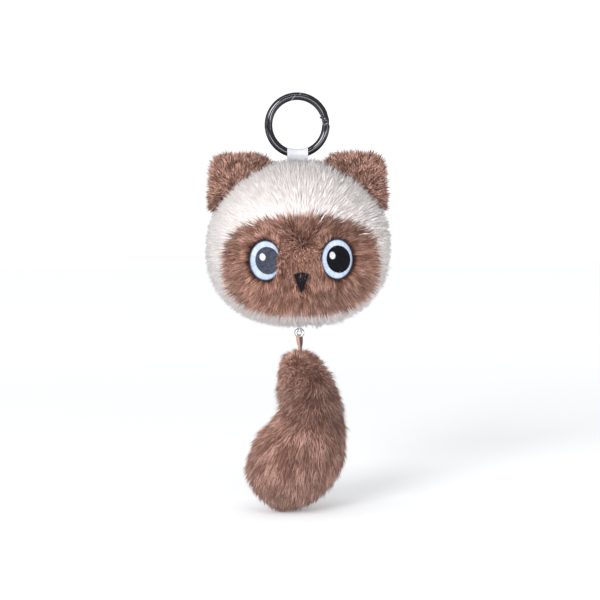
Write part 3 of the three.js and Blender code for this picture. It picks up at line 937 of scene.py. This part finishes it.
def tailPoints(around, rise, inset):
    share = (1 - np.sin(rise)) / 2
    top, bottom = tail["top"] - inset, tail["bottom"] + inset
    half = np.maximum(tailColumn(share, 2) - inset, 1.0) * np.cos(rise)
    x = tailColumn(share, 1) * np.minimum(1.0, 12 * share) + half * np.sin(around)
    return stacked(x, -half * tail["depthShare"] * np.cos(around), top + (bottom - top) * share)


def gridNormals(grid, wrap):
    across = np.roll(grid, -1, axis=1) - np.roll(grid, 1, axis=1) if wrap else np.gradient(grid, axis=1)
    normals = unit(np.cross(np.gradient(grid, axis=0), across))
    outward = np.sum(normals * (grid - grid.reshape(-1, 3).mean(axis=0)))
    return normals if outward > 0 else -normals


def makeTail():
    inset = tail["skinInset"] + cushions["underFur"]
    rings = tailPoints(*anglesOf(np.arange(0, 360, 5), np.linspace(84, -84, 45)), inset)
    rings = rings - gridNormals(rings, True) * seamDip(rings[..., 1])[..., None]
    ends = [tailPoints(0.0, math.radians(rise), tail["skinInset"] + 0.5) for rise in (90.0, -90.0)]
    piece = closedForm("tail_cushion", rings, *ends)
    nodes = ("tail_front", "tail_back", "tail_stuffing")
    finishPiece(piece, "tail", "brownBacking", nodes)
    for name, start, seed in (("front", -90, 21), ("back", 90, 27)):
        angles = anglesOf(np.linspace(start, start + 180, 80), np.linspace(88.5, -88.5, 110))
        grid = tailPoints(*angles, tail["skinInset"])
        normals = gridNormals(grid, False)
        x, y, z = grid[..., 0], grid[..., 1], grid[..., 2]
        offX, offZ = x - tail["whorl"][0], z - tail["whorl"][1]
        near = np.hypot(offX, offZ)
        away = stacked(offX, y * 0.6, offZ) / np.maximum(near, 6.0)[..., None]
        away = away * (1 - 0.9 * smoothStep(-147.0, -136.0, z))[..., None]
        fall = stacked(0.0, 0.0, -0.75 - 0.5 * smoothStep(-150.0, -130.0, z))
        # The pile stands up at the crown, where the band goes in
        crown = smoothStep(-148.0, -131.0, z)
        # Painted shade round the whorl in front and on the right side, painted light on the left side, and an
        # even darkening of the whole pile
        shade = 0.28 * smoothStep(24.0, 6.0, near) * (y < 0) - 0.08 * smoothStep(-2.0, -18.0, x)
        values = {
            "comb": tangent(away + fall, normals) * (1 - 0.9 * crown)[..., None],
            "upAt": normals,
            "pile": tailFur["length"] * (1 - 0.3 * crown),
            "cover": 1.0 + 0.6 * crown,
            "lift": tailFur["lift"],
            "shade": shade + 0.09 + 0.18 * smoothStep(2.0, 18.0, x),
            "mess": 1.0 + 1.3 * smoothStep(22.0, 8.0, near),
        }
        growFur(f"tail_{name}_fur", grid, values, tailFur, "tailPile", "tail", seed)


makeTail()
print("tail made")


# Satin stitches: each a long bead of thread that lies along its own way
def makeStitchTree():
    inputs = [("Geometry", "shape"), ("width", "number", 0.0004), ("seed", "whole", 1), ("finish", "finish")]
    make, given, leave = newTree("satinStitches", "GeometryNodeTree", inputs, [("Geometry", "shape")])
    ball = make.out("GeometryNodeMeshUVSphere", {"Segments": 6, "Rings": 5, "Radius": 0.5})
    x, y, z = make.parts(make.out("GeometryNodeInputPosition"))
    far = make.maths("POWER", make.times(make.maths("ABSOLUTE", z), 2.0), 0.55)
    long = make.times(make.maths("SIGN", z), make.times(far, 0.5))
    bead = make.out("GeometryNodeSetPosition", {"Geometry": ball, "Position": make.join(long, x, y)})
    options = {"primary_axis": "X", "secondary_axis": "Z"}
    ways = {0: make.read("along", "FLOAT_VECTOR"), 1: make.read("up", "FLOAT_VECTOR")}
    turned = make.out("FunctionNodeAxesToRotation", ways, **options)
    points = make.store(given["Geometry"], "tone", make.chance(given["seed"]))
    size = make.join(make.read("reach"), given["width"], given["width"])
    made = make.plant(points, bead, turned, size)
    return make.complete(made, ("along", "up", "reach"), given["finish"], leave)


stitchTree = makeStitchTree()

embroidery = {
    "thread": 0.44,
    "noseThread": 0.5,
    "spacing": 0.36,
    "noseSpacing": 0.38,
    "fillStitch": 2.6,
    "tilt": 12.0,
    # How far each layer lies over the head's form
    "level": {"edge": 1.05, "blue": 1.35, "pupil": 1.65, "glint": 2.0, "nose": 1.2},
    "look": {
        "edge": ("threadNavy", "thread_dark"),
        "blue": ("threadBlue", "thread_blue"),
        # The left pupil's thread is the black thread lightened as painted sheen
        "pupil": {"left": ("threadSlate", "thread_slate"), "right": ("threadBlack", "thread_black")},
        "glint": ("threadWhite", "thread_white"),
    },
    # The pads' sections from their middle, over the rim and down into the pile: share of the outline, offset
    "eyePad": [(0.35, 0.9), (0.7, 0.9), (0.9, 0.88), (0.98, 0.7), (1.0, 0.35), (1.0, -1.26), (0.96, -2.7),
               (0.5, -2.7)],
    "nosePad": [(0.5, 1.1), (0.88, 1.0), (0.98, 0.6), (1.0, -1.5), (0.9, -2.6), (0.5, -2.6)],
}


# Stitches from (x, z) to (x, z), lying on the face's form grown by an offset
def sewStitches(name, pairs, offset, width, seed, look, node):
    a, b = (onFace(*np.array(ends, float).T, offset) for ends in zip(*pairs))
    middles = (a + b) / 2
    piece = meshPiece(name, middles, [])
    addValues(piece, "along", unit(b - a))
    addValues(piece, "up", headNormals(middles))
    addValues(piece, "reach", (np.linalg.norm(b - a, axis=-1) + width * 0.6) * mm)
    finish, slot = look
    growOn(piece, stitchTree, {"width": width * mm, "seed": seed, "finish": finishes[finish]})
    finishPiece(piece, "head", replaces=(node,))


# Stitches across a band between two ovals
def bandStitches(centre, inner, outer, slant):
    count = int(math.pi * (outer[0] + outer[1]) / embroidery["spacing"])
    pairs = []
    for i in range(count):
        angle = 2 * math.pi * i / count
        ends = []
        for half, turn in ((inner, angle), (outer, angle + slant)):
            ends.append((centre[0] + half[0] * math.cos(turn), centre[1] + half[1] * math.sin(turn)))
        pairs.append(ends)
    return pairs


# Rows of short stitches that fill an oval, each row shifted along
def fillStitches(centre, half):
    turn = math.radians(embroidery["tilt"])
    cosTurn, sinTurn = math.cos(turn), math.sin(turn)
    count = int(2 * half[1] / embroidery["spacing"])
    pairs = []
    for i in range(count):
        v = -half[1] + (i + 0.5) * 2 * half[1] / count
        reach = half[0] * math.sqrt(max(1 - (v / half[1]) ** 2, 0.0))
        mark = -reach + embroidery["fillStitch"] * (0.35 + 0.65 * ((i * 0.382) % 1.0))
        edges = [-reach]
        while mark < reach - 0.5:
            edges.append(mark)
            mark += embroidery["fillStitch"]
        edges.append(reach)
        ends = [(centre[0] + u * cosTurn - v * sinTurn, centre[1] + u * sinTurn + v * cosTurn) for u in edges]
        pairs += zip(ends[:-1], ends[1:])
    return pairs


# One eye: a pad, then stitches in layers, each a little higher than the one before
def makeEye(index, side, centre):
    half, ring, pupil = eyes["half"], eyes["ring"], eyes["pupil"]
    turns = np.radians(np.arange(0, 360, 6))
    outline = ((half[0] - 0.1) * np.cos(turns), (half[1] - 0.1) * np.sin(turns))
    pad = facePad(f"eye_patch_pad_{side}", centre, outline, embroidery["eyePad"])
    finishPiece(pad, "head", "threadNavy")
    middle = (centre[0] + eyes["pupilShift"][side], centre[1])
    spot = [a + b for a, b in zip(middle, eyes["glintShift"][side])]
    layers = {
        "edge": bandStitches(centre, (ring[0] - 0.3, ring[1] - 0.3), half, 0.04),
        "blue": bandStitches(centre, (pupil[0] - 1.4, pupil[1] - 1.0), ring, 0.03),
        "pupil": fillStitches(middle, pupil),
        "glint": fillStitches(spot, eyes["glint"]),
    }
    for step, (layer, pairs) in enumerate(layers.items()):
        look = embroidery["look"][layer]
        look = look[side] if isinstance(look, dict) else look
        node = f"eye_patch_{side}" if layer == "edge" else f"eye_{layer}_{side}"
        level, seed = embroidery["level"][layer], 31 + 10 * step + index
        sewStitches(f"eye_{layer}_stitches_{side}", pairs, level, embroidery["thread"], seed, look, node)


def makeNose():
    middle, half, top, tip = nose["middle"], nose["half"], nose["top"], nose["tip"]
    count = int(2 * half / embroidery["noseSpacing"])
    pairs = []
    for layer in (0, 1):
        for i in range(count):
            across = -1 + 2 * (i + 0.5 * (1 + layer * 0.6)) / count
            high = top - 2.2 * abs(across) ** 3
            low = top + (tip - top) * (1 - abs(across) ** 1.15)
            if abs(across) <= 0.98 and high - low >= 1.0:
                pairs.append([(middle + across * half, high - 0.5 * layer),
                              (middle + across * half * 0.86, low + 0.5 * layer)])
    level, width = embroidery["level"]["nose"], embroidery["noseThread"]
    sewStitches("nose_stitches", pairs, level, width, 71, ("threadBlack", "thread_black"), "nose")
    turns = np.linspace(0, 2 * math.pi, 36, endpoint=False)
    share = 0.5 + 0.5 * np.sin(turns)
    outline = (half * 0.95 * np.cos(turns) * share ** 0.9, (top - tip) * (share - 1) + 3.4)
    pad = facePad("nose_pad", (middle, top - 3.4), outline, embroidery["nosePad"])
    finishPiece(pad, "head", "threadBlack")


for index, (side, centre) in enumerate(eyes["centres"].items()):
    makeEye(index, side, centre)
makeNose()
print("face made")

ring = {
    "centre": -12.5,
    "radius": 14.5,
    "wire": 2.0,
    "hingeAngle": 9.0,
    "jointAngle": 95.0,
    "gap": 0.12,
    "knuckle": 2.05,
    "tongueHalf": 0.8,
    "slotHalf": 0.95,
    "slotReach": 3.8,
    "lip": 1.3,
    "lipOut": 0.45,               # the joint's step lies this far outside the wire's middle
    "pin": 0.7,
    "edge": 0.14,
    "bore": (10, 38, 1.2),        # the spring's hollow: degrees past the hinge, and its radius
    # Outlines as degrees round the ring and distance from its middle
    "clearance": [(-1, 8), (-1, 24), (10.5, 24), (10.5, 8)],
    "neck": [(-5, 12.9), (-5, 16.1), (4, 16.2), (4, 12.8)],
    "nub": [(-0.6, 0.0), (-2.9, 0.9), (-2.9, 1.9), (-0.6, 1.4)],                # x and z from the hinge
    "rivet": [(0.4, 2.26), (0.72, 2.14), (0.9, 1.98), (0.9, 1.9), (0.7, 1.9)],  # radius and depth
    "rivetEnd": 2.3,
}


def onRing(degrees, radius=ring["radius"]):
    turn = math.radians(degrees)
    return (radius * math.cos(turn), radius * math.sin(turn) + ring["centre"])


hinge = onRing(ring["hingeAngle"])


# The ring's solids are cut and joined in millimetres, and made smaller at the end.
def toMetres(piece):
    piece.data.transform(Matrix.Scale(mm, 4))
    return piece


def wireTorus(name, radius, wire, centre, around=160, sides=28):
    points = []
    for i in range(around):
        turn = 2 * math.pi * i / around
        for j in range(sides):
            lean = 2 * math.pi * j / sides
            far = radius + wire * math.cos(lean)
            points.append((far * math.cos(turn), wire * math.sin(lean), far * math.sin(turn) + centre))
    return faceOutwards(meshPiece(name, points, gridFaces(around, sides, loop=True), 1.0))


# A solid between two outlines with the same number of points
def bar(name, low, high):
    count = len(low)
    faces = [tuple(range(count)), tuple(range(2 * count - 1, count - 1, -1))]
    for i in range(count):
        k = (i + 1) % count
        faces.append((i, i + count, k + count, k))
    return faceOutwards(meshPiece(name, [*low, *high], faces, 1.0))


# A block with an outline in x and z, as deep on both sides of the ring's plane
def prism(name, outline, half=5):
    return bar(name, *([(x, y, z) for x, z in outline] for y in (-half, half)))


def disc(name, radius, half=5, sides=64):
    turns = [2 * math.pi * i / sides for i in range(sides)]
    outline = [(hinge[0] + radius * math.cos(t), hinge[1] + radius * math.sin(t)) for t in turns]
    return prism(name, outline, half)


# A round bar between two points of the ring's plane
def roundBar(name, start, end, radius, sides=32):
    a, b = Vector((start[0], 0, start[1])), Vector((end[0], 0, end[1]))
    side = Vector((0, 1, 0))
    up = (b - a).normalized().cross(side)
    turns = [2 * math.pi * j / sides for j in range(sides)]
    spokes = [side * radius * math.cos(t) + up * radius * math.sin(t) for t in turns]
    return bar(name, *([spot + spoke for spoke in spokes] for spot in (a, b)))


# Angle on the ring at which a circle about the hinge meets a given distance from the ring's middle
def meetAngle(distance, reach):
    radius = ring["radius"]
    share = (distance ** 2 + radius ** 2 - reach ** 2) / (2 * distance * radius)
    return ring["hingeAngle"] + math.degrees(math.acos(max(-1.0, min(1.0, share))))


# The gate's side of the top joint: up along one circle, back along the lip, and out along a shorter circle
def jointOutline(reach, lipReach, lipDistance, startAngle):
    outline = [(meetAngle(distance, reach), distance) for distance in np.linspace(11.0, lipDistance, 10)]
    high, low = meetAngle(lipDistance, reach), meetAngle(lipDistance, lipReach)
    outline += [(angle, lipDistance) for angle in np.linspace(high, low, 5)[1:]]
    for distance in np.linspace(lipDistance, 18.5, 8)[1:]:
        outline.append((meetAngle(distance, lipReach), distance))
    outline += [(angle, 24.0) for angle in np.linspace(75.0, startAngle, 5)]
    outline += [(startAngle + step, 8.0) for step in (0, 25, 50)]
    return [onRing(*spot) for spot in outline]


def polishEdges(piece):
    bevel = piece.modifiers.new("edges", "BEVEL")
    bevel.width = ring["edge"]
    bevel.segments = 3
    bevel.limit_method = "ANGLE"
    bevel.angle_limit = math.radians(38)
    applyModifiers(piece)


def makeRing():
    top = onRing(ring["jointAngle"])
    reach = math.hypot(top[0] - hinge[0], top[1] - hinge[1])
    gap, lip, knuckle, half = ring["gap"], ring["lip"], ring["knuckle"], ring["tongueHalf"]
    middle = ring["radius"] + ring["lipOut"]
    body, gate = (wireTorus(name, ring["radius"], ring["wire"], ring["centre"])
                  for name in ("ring_frame", "ring_gate_arm"))

    # The frame: cut away for the gate and its knuckle, with a tongue that goes into the gate's slot
    cut = prism("cut", jointOutline(reach + gap, reach - lip, middle + gap, ring["hingeAngle"] - 0.5))
    combine(body, cut, "DIFFERENCE")
    combine(body, disc("cut", knuckle + gap), "DIFFERENCE")
    combine(body, prism("cut", [onRing(*spot) for spot in ring["clearance"]]), "DIFFERENCE")
    tongue = prism("tongue", [onRing(*spot) for spot in ring["neck"]], half)
    combine(tongue, disc("round", knuckle - 0.2, half), "UNION")
    combine(tongue, prism("nub", [(hinge[0] + a, hinge[1] + b) for a, b in ring["nub"]], half), "UNION")
    combine(body, tongue, "UNION")

    # The gate: the rest of the ring, slotted for the tongue and bored for its spring
    keep = prism("keep", jointOutline(reach, reach - lip - gap, middle, ring["hingeAngle"]))
    combine(keep, disc("knuckle", knuckle), "UNION")
    combine(gate, keep, "INTERSECT")
    combine(gate, disc("slot", ring["slotReach"], ring["slotHalf"]), "DIFFERENCE")
    *ends, radius = ring["bore"]
    ends = [onRing(ring["hingeAngle"] + end) for end in ends]
    combine(gate, roundBar("bore", *ends, radius), "DIFFERENCE")
    for piece, node, bodyName in ((body, "ring_body", "ring"), (gate, "ring_gate", "gate")):
        combine(piece, disc("hole", ring["pin"] + 0.03, sides=40), "DIFFERENCE")
        polishEdges(piece)
        smooth(piece, 40)
        finishPiece(toMetres(piece), bodyName, "gunmetal", (node,))


# The rivet: a turned pin with low domed heads
def makeRivet():
    turns = np.linspace(0, 2 * math.pi, 32, endpoint=False)
    profile = ring["rivet"] + [(radius, -depth) for radius, depth in ring["rivet"][::-1]]
    rings = [stacked(hinge[0] + radius * np.cos(turns), depth, hinge[1] + radius * np.sin(turns))
             for radius, depth in profile]
    ends = [(hinge[0], depth, hinge[1]) for depth in (ring["rivetEnd"], -ring["rivetEnd"])]
    piece = closedForm("gate_rivet", rings, *ends, 50)
    finishPiece(piece, "ring", "gunmetal", ("gate_pin",))


makeRing()
makeRivet()
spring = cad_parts["gate_spring"]
spring.data.materials.clear()
spring.data.materials.append(finishes["springSteel"])
print("ring made")

tab = {
    "axis": -27.0,
    "inner": 2.13,
    "thickness": 0.36,
    "halfWidth": 5.2,
    "bottom": -38.5,
    "plyGap": 0.3,
    "columns": 25,
    "join": 2.4,                  # the two plies come together this far under the wire
}


# Path of the ribbon in y and z at one x: up the back ply, over the wire, and down the front ply
def tabPath(radius, halfGap):
    join = -radius - tab["join"]
    far = math.hypot(halfGap, join)
    start = math.atan2(join, halfGap) + (math.acos(radius / far) if radius < far else 0.0)
    touch = (radius * math.cos(start), radius * math.sin(start))
    path = [(halfGap, z) for z in np.linspace(tab["bottom"] - tab["axis"], join, 10)[:-1]]
    for share in np.linspace(0, 1, 6)[:-1]:
        path.append((halfGap + (touch[0] - halfGap) * share, join + (touch[1] - join) * share))
    straight = len(path)
    for angle in np.linspace(start, math.pi - start, 33):
        path.append((radius * math.cos(angle), radius * math.sin(angle)))
    return path + [(-y, z) for y, z in path[:straight][::-1]]


def fixNormals(piece):
    work = bmesh.new()
    work.from_mesh(piece.data)
    bmesh.ops.recalc_face_normals(work, faces=work.faces)
    work.to_mesh(piece.data)
    work.free()


# The ribbon's outer and inner sides as two grids, closed round their border
def makeTab():
    outer, inner = [], []
    for share in np.linspace(-1, 1, tab["columns"]):
        x = share * tab["halfWidth"]
        climb = ring["radius"] - math.sqrt(ring["radius"] ** 2 - x ** 2)
        for side, over in ((inner, 0.0), (outer, tab["thickness"] - 0.06 * abs(share) ** 12)):
            path = tabPath(climb + tab["inner"] + over, tab["plyGap"] / 2 + over)
            side.append([(x, y, z + tab["axis"]) for y, z in path])
    columns, rows = len(outer), len(outer[0])
    shift = columns * rows
    index = np.arange(shift).reshape(columns, rows)
    border = np.concatenate([index[0], index[1:, -1], index[-1, -2::-1], index[-2:0:-1, 0]]).tolist()
    faces = gridFaces(columns, rows, wrap=False) + gridFaces(columns, rows, wrap=False, first=shift)
    faces += [(a, b, b + shift, a + shift) for a, b in zip(border, border[1:] + border[:1])]
    piece = meshPiece("hanging_tab", np.array([outer, inner]).reshape(-1, 3), faces)
    fixNormals(piece)
    mapCloth(piece, [(i / (columns - 1), j / (rows - 1)) for i in range(columns) for j in range(rows)] * 2)
    smooth(piece, 45)
    finishPiece(piece, "head", "ribbon", ("tab_loop", "tab_ends"))


makeTab()
print("tab made")

link = {
    "loopCentre": -115.75,
    "loopRadius": 1.5,
    "loopPly": 0.27,
    "loopPlies": 3,
    "loopTwists": 6,
    "plyOffset": 0.2,
    "ringCentre": -117.75,
    "ringRadius": 1.8,
    "ringWire": 0.78,
}
# A narrow satin band folded over the small ring: its front ply lies to the left, and its back ply, darkened
# as painted shade, to the right.
band = {
    "path": [(0.35, -0.3, -132.0), (0.25, -0.45, -128.5), (-0.1, -0.7, -125.2), (-0.75, -1.2, -121.6),
             (-0.8, -1.12, -119.75), (-0.4, -0.6, -118.8), (0.0, 0.0, -118.58), (0.4, 0.6, -118.8),
             (0.8, 1.12, -119.75), (0.95, 1.2, -121.6), (0.75, 0.7, -125.2), (0.45, 0.45, -128.5),
             (0.35, 0.3, -132.0)],
    "topWidth": 1.75,
    "lowWidth": 0.8,
    "thickness": 0.34,
}


# The sewn loop: plies of thread wound round a circle, each a closed tube with a tone of its own
def makeThreadLoop():
    steps, sides = 96, 8
    points, faces, tones = [], [], []
    for ply in range(link["loopPlies"]):
        faces += gridFaces(steps, sides, loop=True, first=ply * steps * sides)
        tones += [0.25 + 0.5 * ((ply * 0.382 + 0.2) % 1.0)] * steps * sides
        for turn in np.linspace(0, 2 * math.pi, steps, endpoint=False):
            side, out = np.array([1.0, 0.0, 0.0]), np.array([0.0, math.sin(turn), math.cos(turn)])
            lean = link["loopTwists"] * turn + 2 * math.pi * ply / link["loopPlies"]
            middle = np.array([0, 0, link["loopCentre"]]) + out * link["loopRadius"]
            middle = middle + link["plyOffset"] * (side * math.cos(lean) - out * math.sin(lean))
            for j in range(sides):
                angle = 2 * math.pi * j / sides
                points.append(middle + link["loopPly"] * (side * math.cos(angle) - out * math.sin(angle)))
    piece = meshPiece("thread_loop", points, faces)
    addValues(piece, "tone", tones)
    smooth(faceOutwards(piece), 60)
    finishPiece(piece, "head", "loopThread", ("link_loop",))


# A smooth curve through points
def smoothPath(points, count):
    points = np.array(points, float)
    last = len(points) - 1
    path = []
    for t in np.linspace(0, last, count):
        k = min(int(t), last - 1)
        u = t - k
        a, b, c, d = (points[min(max(k + step, 0), last)] for step in (-1, 0, 1, 2))
        path.append(0.5 * (2 * b + (c - a) * u + (2 * a - 5 * b + 4 * c - d) * u ** 2
                           + (3 * b - a - 3 * c + d) * u ** 3))
    return np.array(path)


def makeBand():
    path = smoothPath(band["path"], 120)
    count, sides = len(path), 12
    steps = np.gradient(path, axis=0)
    steps[:, 0] = 0
    side = np.array([1.0, 0.0, 0.0])
    ups = np.cross(unit(steps), side)
    points, tones, where = [], [], []
    for i, spot in enumerate(path):
        width = band["lowWidth"] + (band["topWidth"] - band["lowWidth"]) * smoothStep(-128.0, -121.5, spot[2])
        for j in range(sides):
            turn = 2 * math.pi * j / sides
            out = np.sign(math.cos(turn)) * abs(math.cos(turn)) ** 0.5 * width / 2
            up = np.sign(math.sin(turn)) * abs(math.sin(turn)) ** 0.7 * band["thickness"] / 2
            points.append(spot + side * out + ups[i] * up)
            # Painted shade: the tone falls from the front ply to the back ply, which takes the band's Shadow
            # colour
            tones.append(1.0 - smoothStep(0.35, 0.6, i / count))
            where.append((j / sides, i / count))
    faces = gridFaces(count, sides)
    faces += [tuple(range(sides))[::-1], tuple(range((count - 1) * sides, count * sides))]
    piece = meshPiece("tail_band", points, faces)
    addValues(piece, "tone", tones)
    mapCloth(piece, where)
    smooth(faceOutwards(piece), 60)
    finishPiece(piece, "tail", "brownBand", ("tail_cord",))


def makeLink():
    makeThreadLoop()
    piece = wireTorus("small_ring", link["ringRadius"], link["ringWire"], link["ringCentre"], 96, 20)
    smooth(toMetres(piece))
    finishPiece(piece, "link", "silver", ("link_ring",))
    makeBand()


makeLink()
print("link made")

# Places and sizes are in metres here.
studio = {
    "floorLevel": -0.209,
    "floorHalf": 4.0,
    "floorGlow": (0.3, 1.3, 0.17, 0.27),      # from one distance to another, from one strength to another
    "worldStrength": 0.56,
    "backdropExtra": 0.6,
    "aim": (0.0, 0.0, -0.1),
    "sun": {"strength": 1.87, "from": (-27.0, 21.0), "angle": 22.0},   # degrees round and up
    "lamps": {
        "key": {"place": (-1.2, -0.9, 0.5), "size": (0.9, 0.9), "power": 2.7},
        "leftStrip": {"place": (-0.6, -0.12, 0.02), "size": (0.022, 0.6), "power": 0.4},
        "rightStrip": {"place": (0.8, -0.7, 0.0), "size": (0.15, 0.35), "power": 1.0},
        "topStrip": {"place": (-0.05, -0.5, 0.6), "size": (0.6, 0.06), "power": 1.1},
        "lowFill": {"place": (0.2, -1.2, -0.12), "size": (1.2, 0.12), "power": 5.2},
    },
}


def makeFloor():
    half, level = studio["floorHalf"], studio["floorLevel"]
    corners = [(-half, -half, level), (half, -half, level), (half, half, level), (-half, half, level)]
    floor = meshPiece("floor", corners, [(0, 1, 2, 3)], 1.0)
    paper = bpy.data.materials.new("floorPaper")
    paper.use_nodes = True
    make = nodeMaker(paper.node_tree)
    shader = paper.node_tree.nodes["Principled BSDF"].inputs
    for key, value in {"Roughness": 0.9, "Specular IOR Level": 0.1, "Emission Color": (1, 1, 1, 1)}.items():
        shader[key].default_value = value
    place = make.objectPlace()
    grain = make.noise(place, 3.0)[0]
    make.put(shader["Base Color"], make.mix(grain, (0.93, 0.94, 0.96, 1), (0.96, 0.965, 0.98, 1)))
    away = make.node("ShaderNodeVectorMath", {0: place}, operation="LENGTH").outputs["Value"]
    make.put(shader["Emission Strength"], make.ramp(away, *studio["floorGlow"]))
    floor.data.materials.append(paper)


def makeLight():
    world = bpy.data.worlds.new("studio")
    world.use_nodes = True
    make = nodeMaker(world.node_tree)
    air = world.node_tree.nodes["Background"].inputs
    air[0].default_value = (0.98, 0.99, 1.0, 1)
    seen = make.node("ShaderNodeLightPath").outputs["Is Camera Ray"]
    make.put(air[1], make.maths("MULTIPLY_ADD", seen, studio["backdropExtra"], studio["worldStrength"]))
    scene.world = world
    for name, values in studio["lamps"].items():
        data = bpy.data.lights.new(name, "AREA")
        data.shape = "RECTANGLE"
        data.size, data.size_y = values["size"]
        data.energy = values["power"]
        lamp = addToScene(name, data)
        lamp.location = values["place"]
        lamp.rotation_euler = (Vector(studio["aim"]) - lamp.location).to_track_quat("-Z", "Y").to_euler()
    data = bpy.data.lights.new("sun", "SUN")
    data.energy = studio["sun"]["strength"]
    data.angle = math.radians(studio["sun"]["angle"])
    addToScene("sun", data).rotation_euler = wayTo(*studio["sun"]["from"]).to_track_quat("Z", "Y").to_euler()


makeFloor()
makeLight()
scene.view_settings.view_transform = "Standard"
scene.cycles.use_denoising = True
print("studio made")
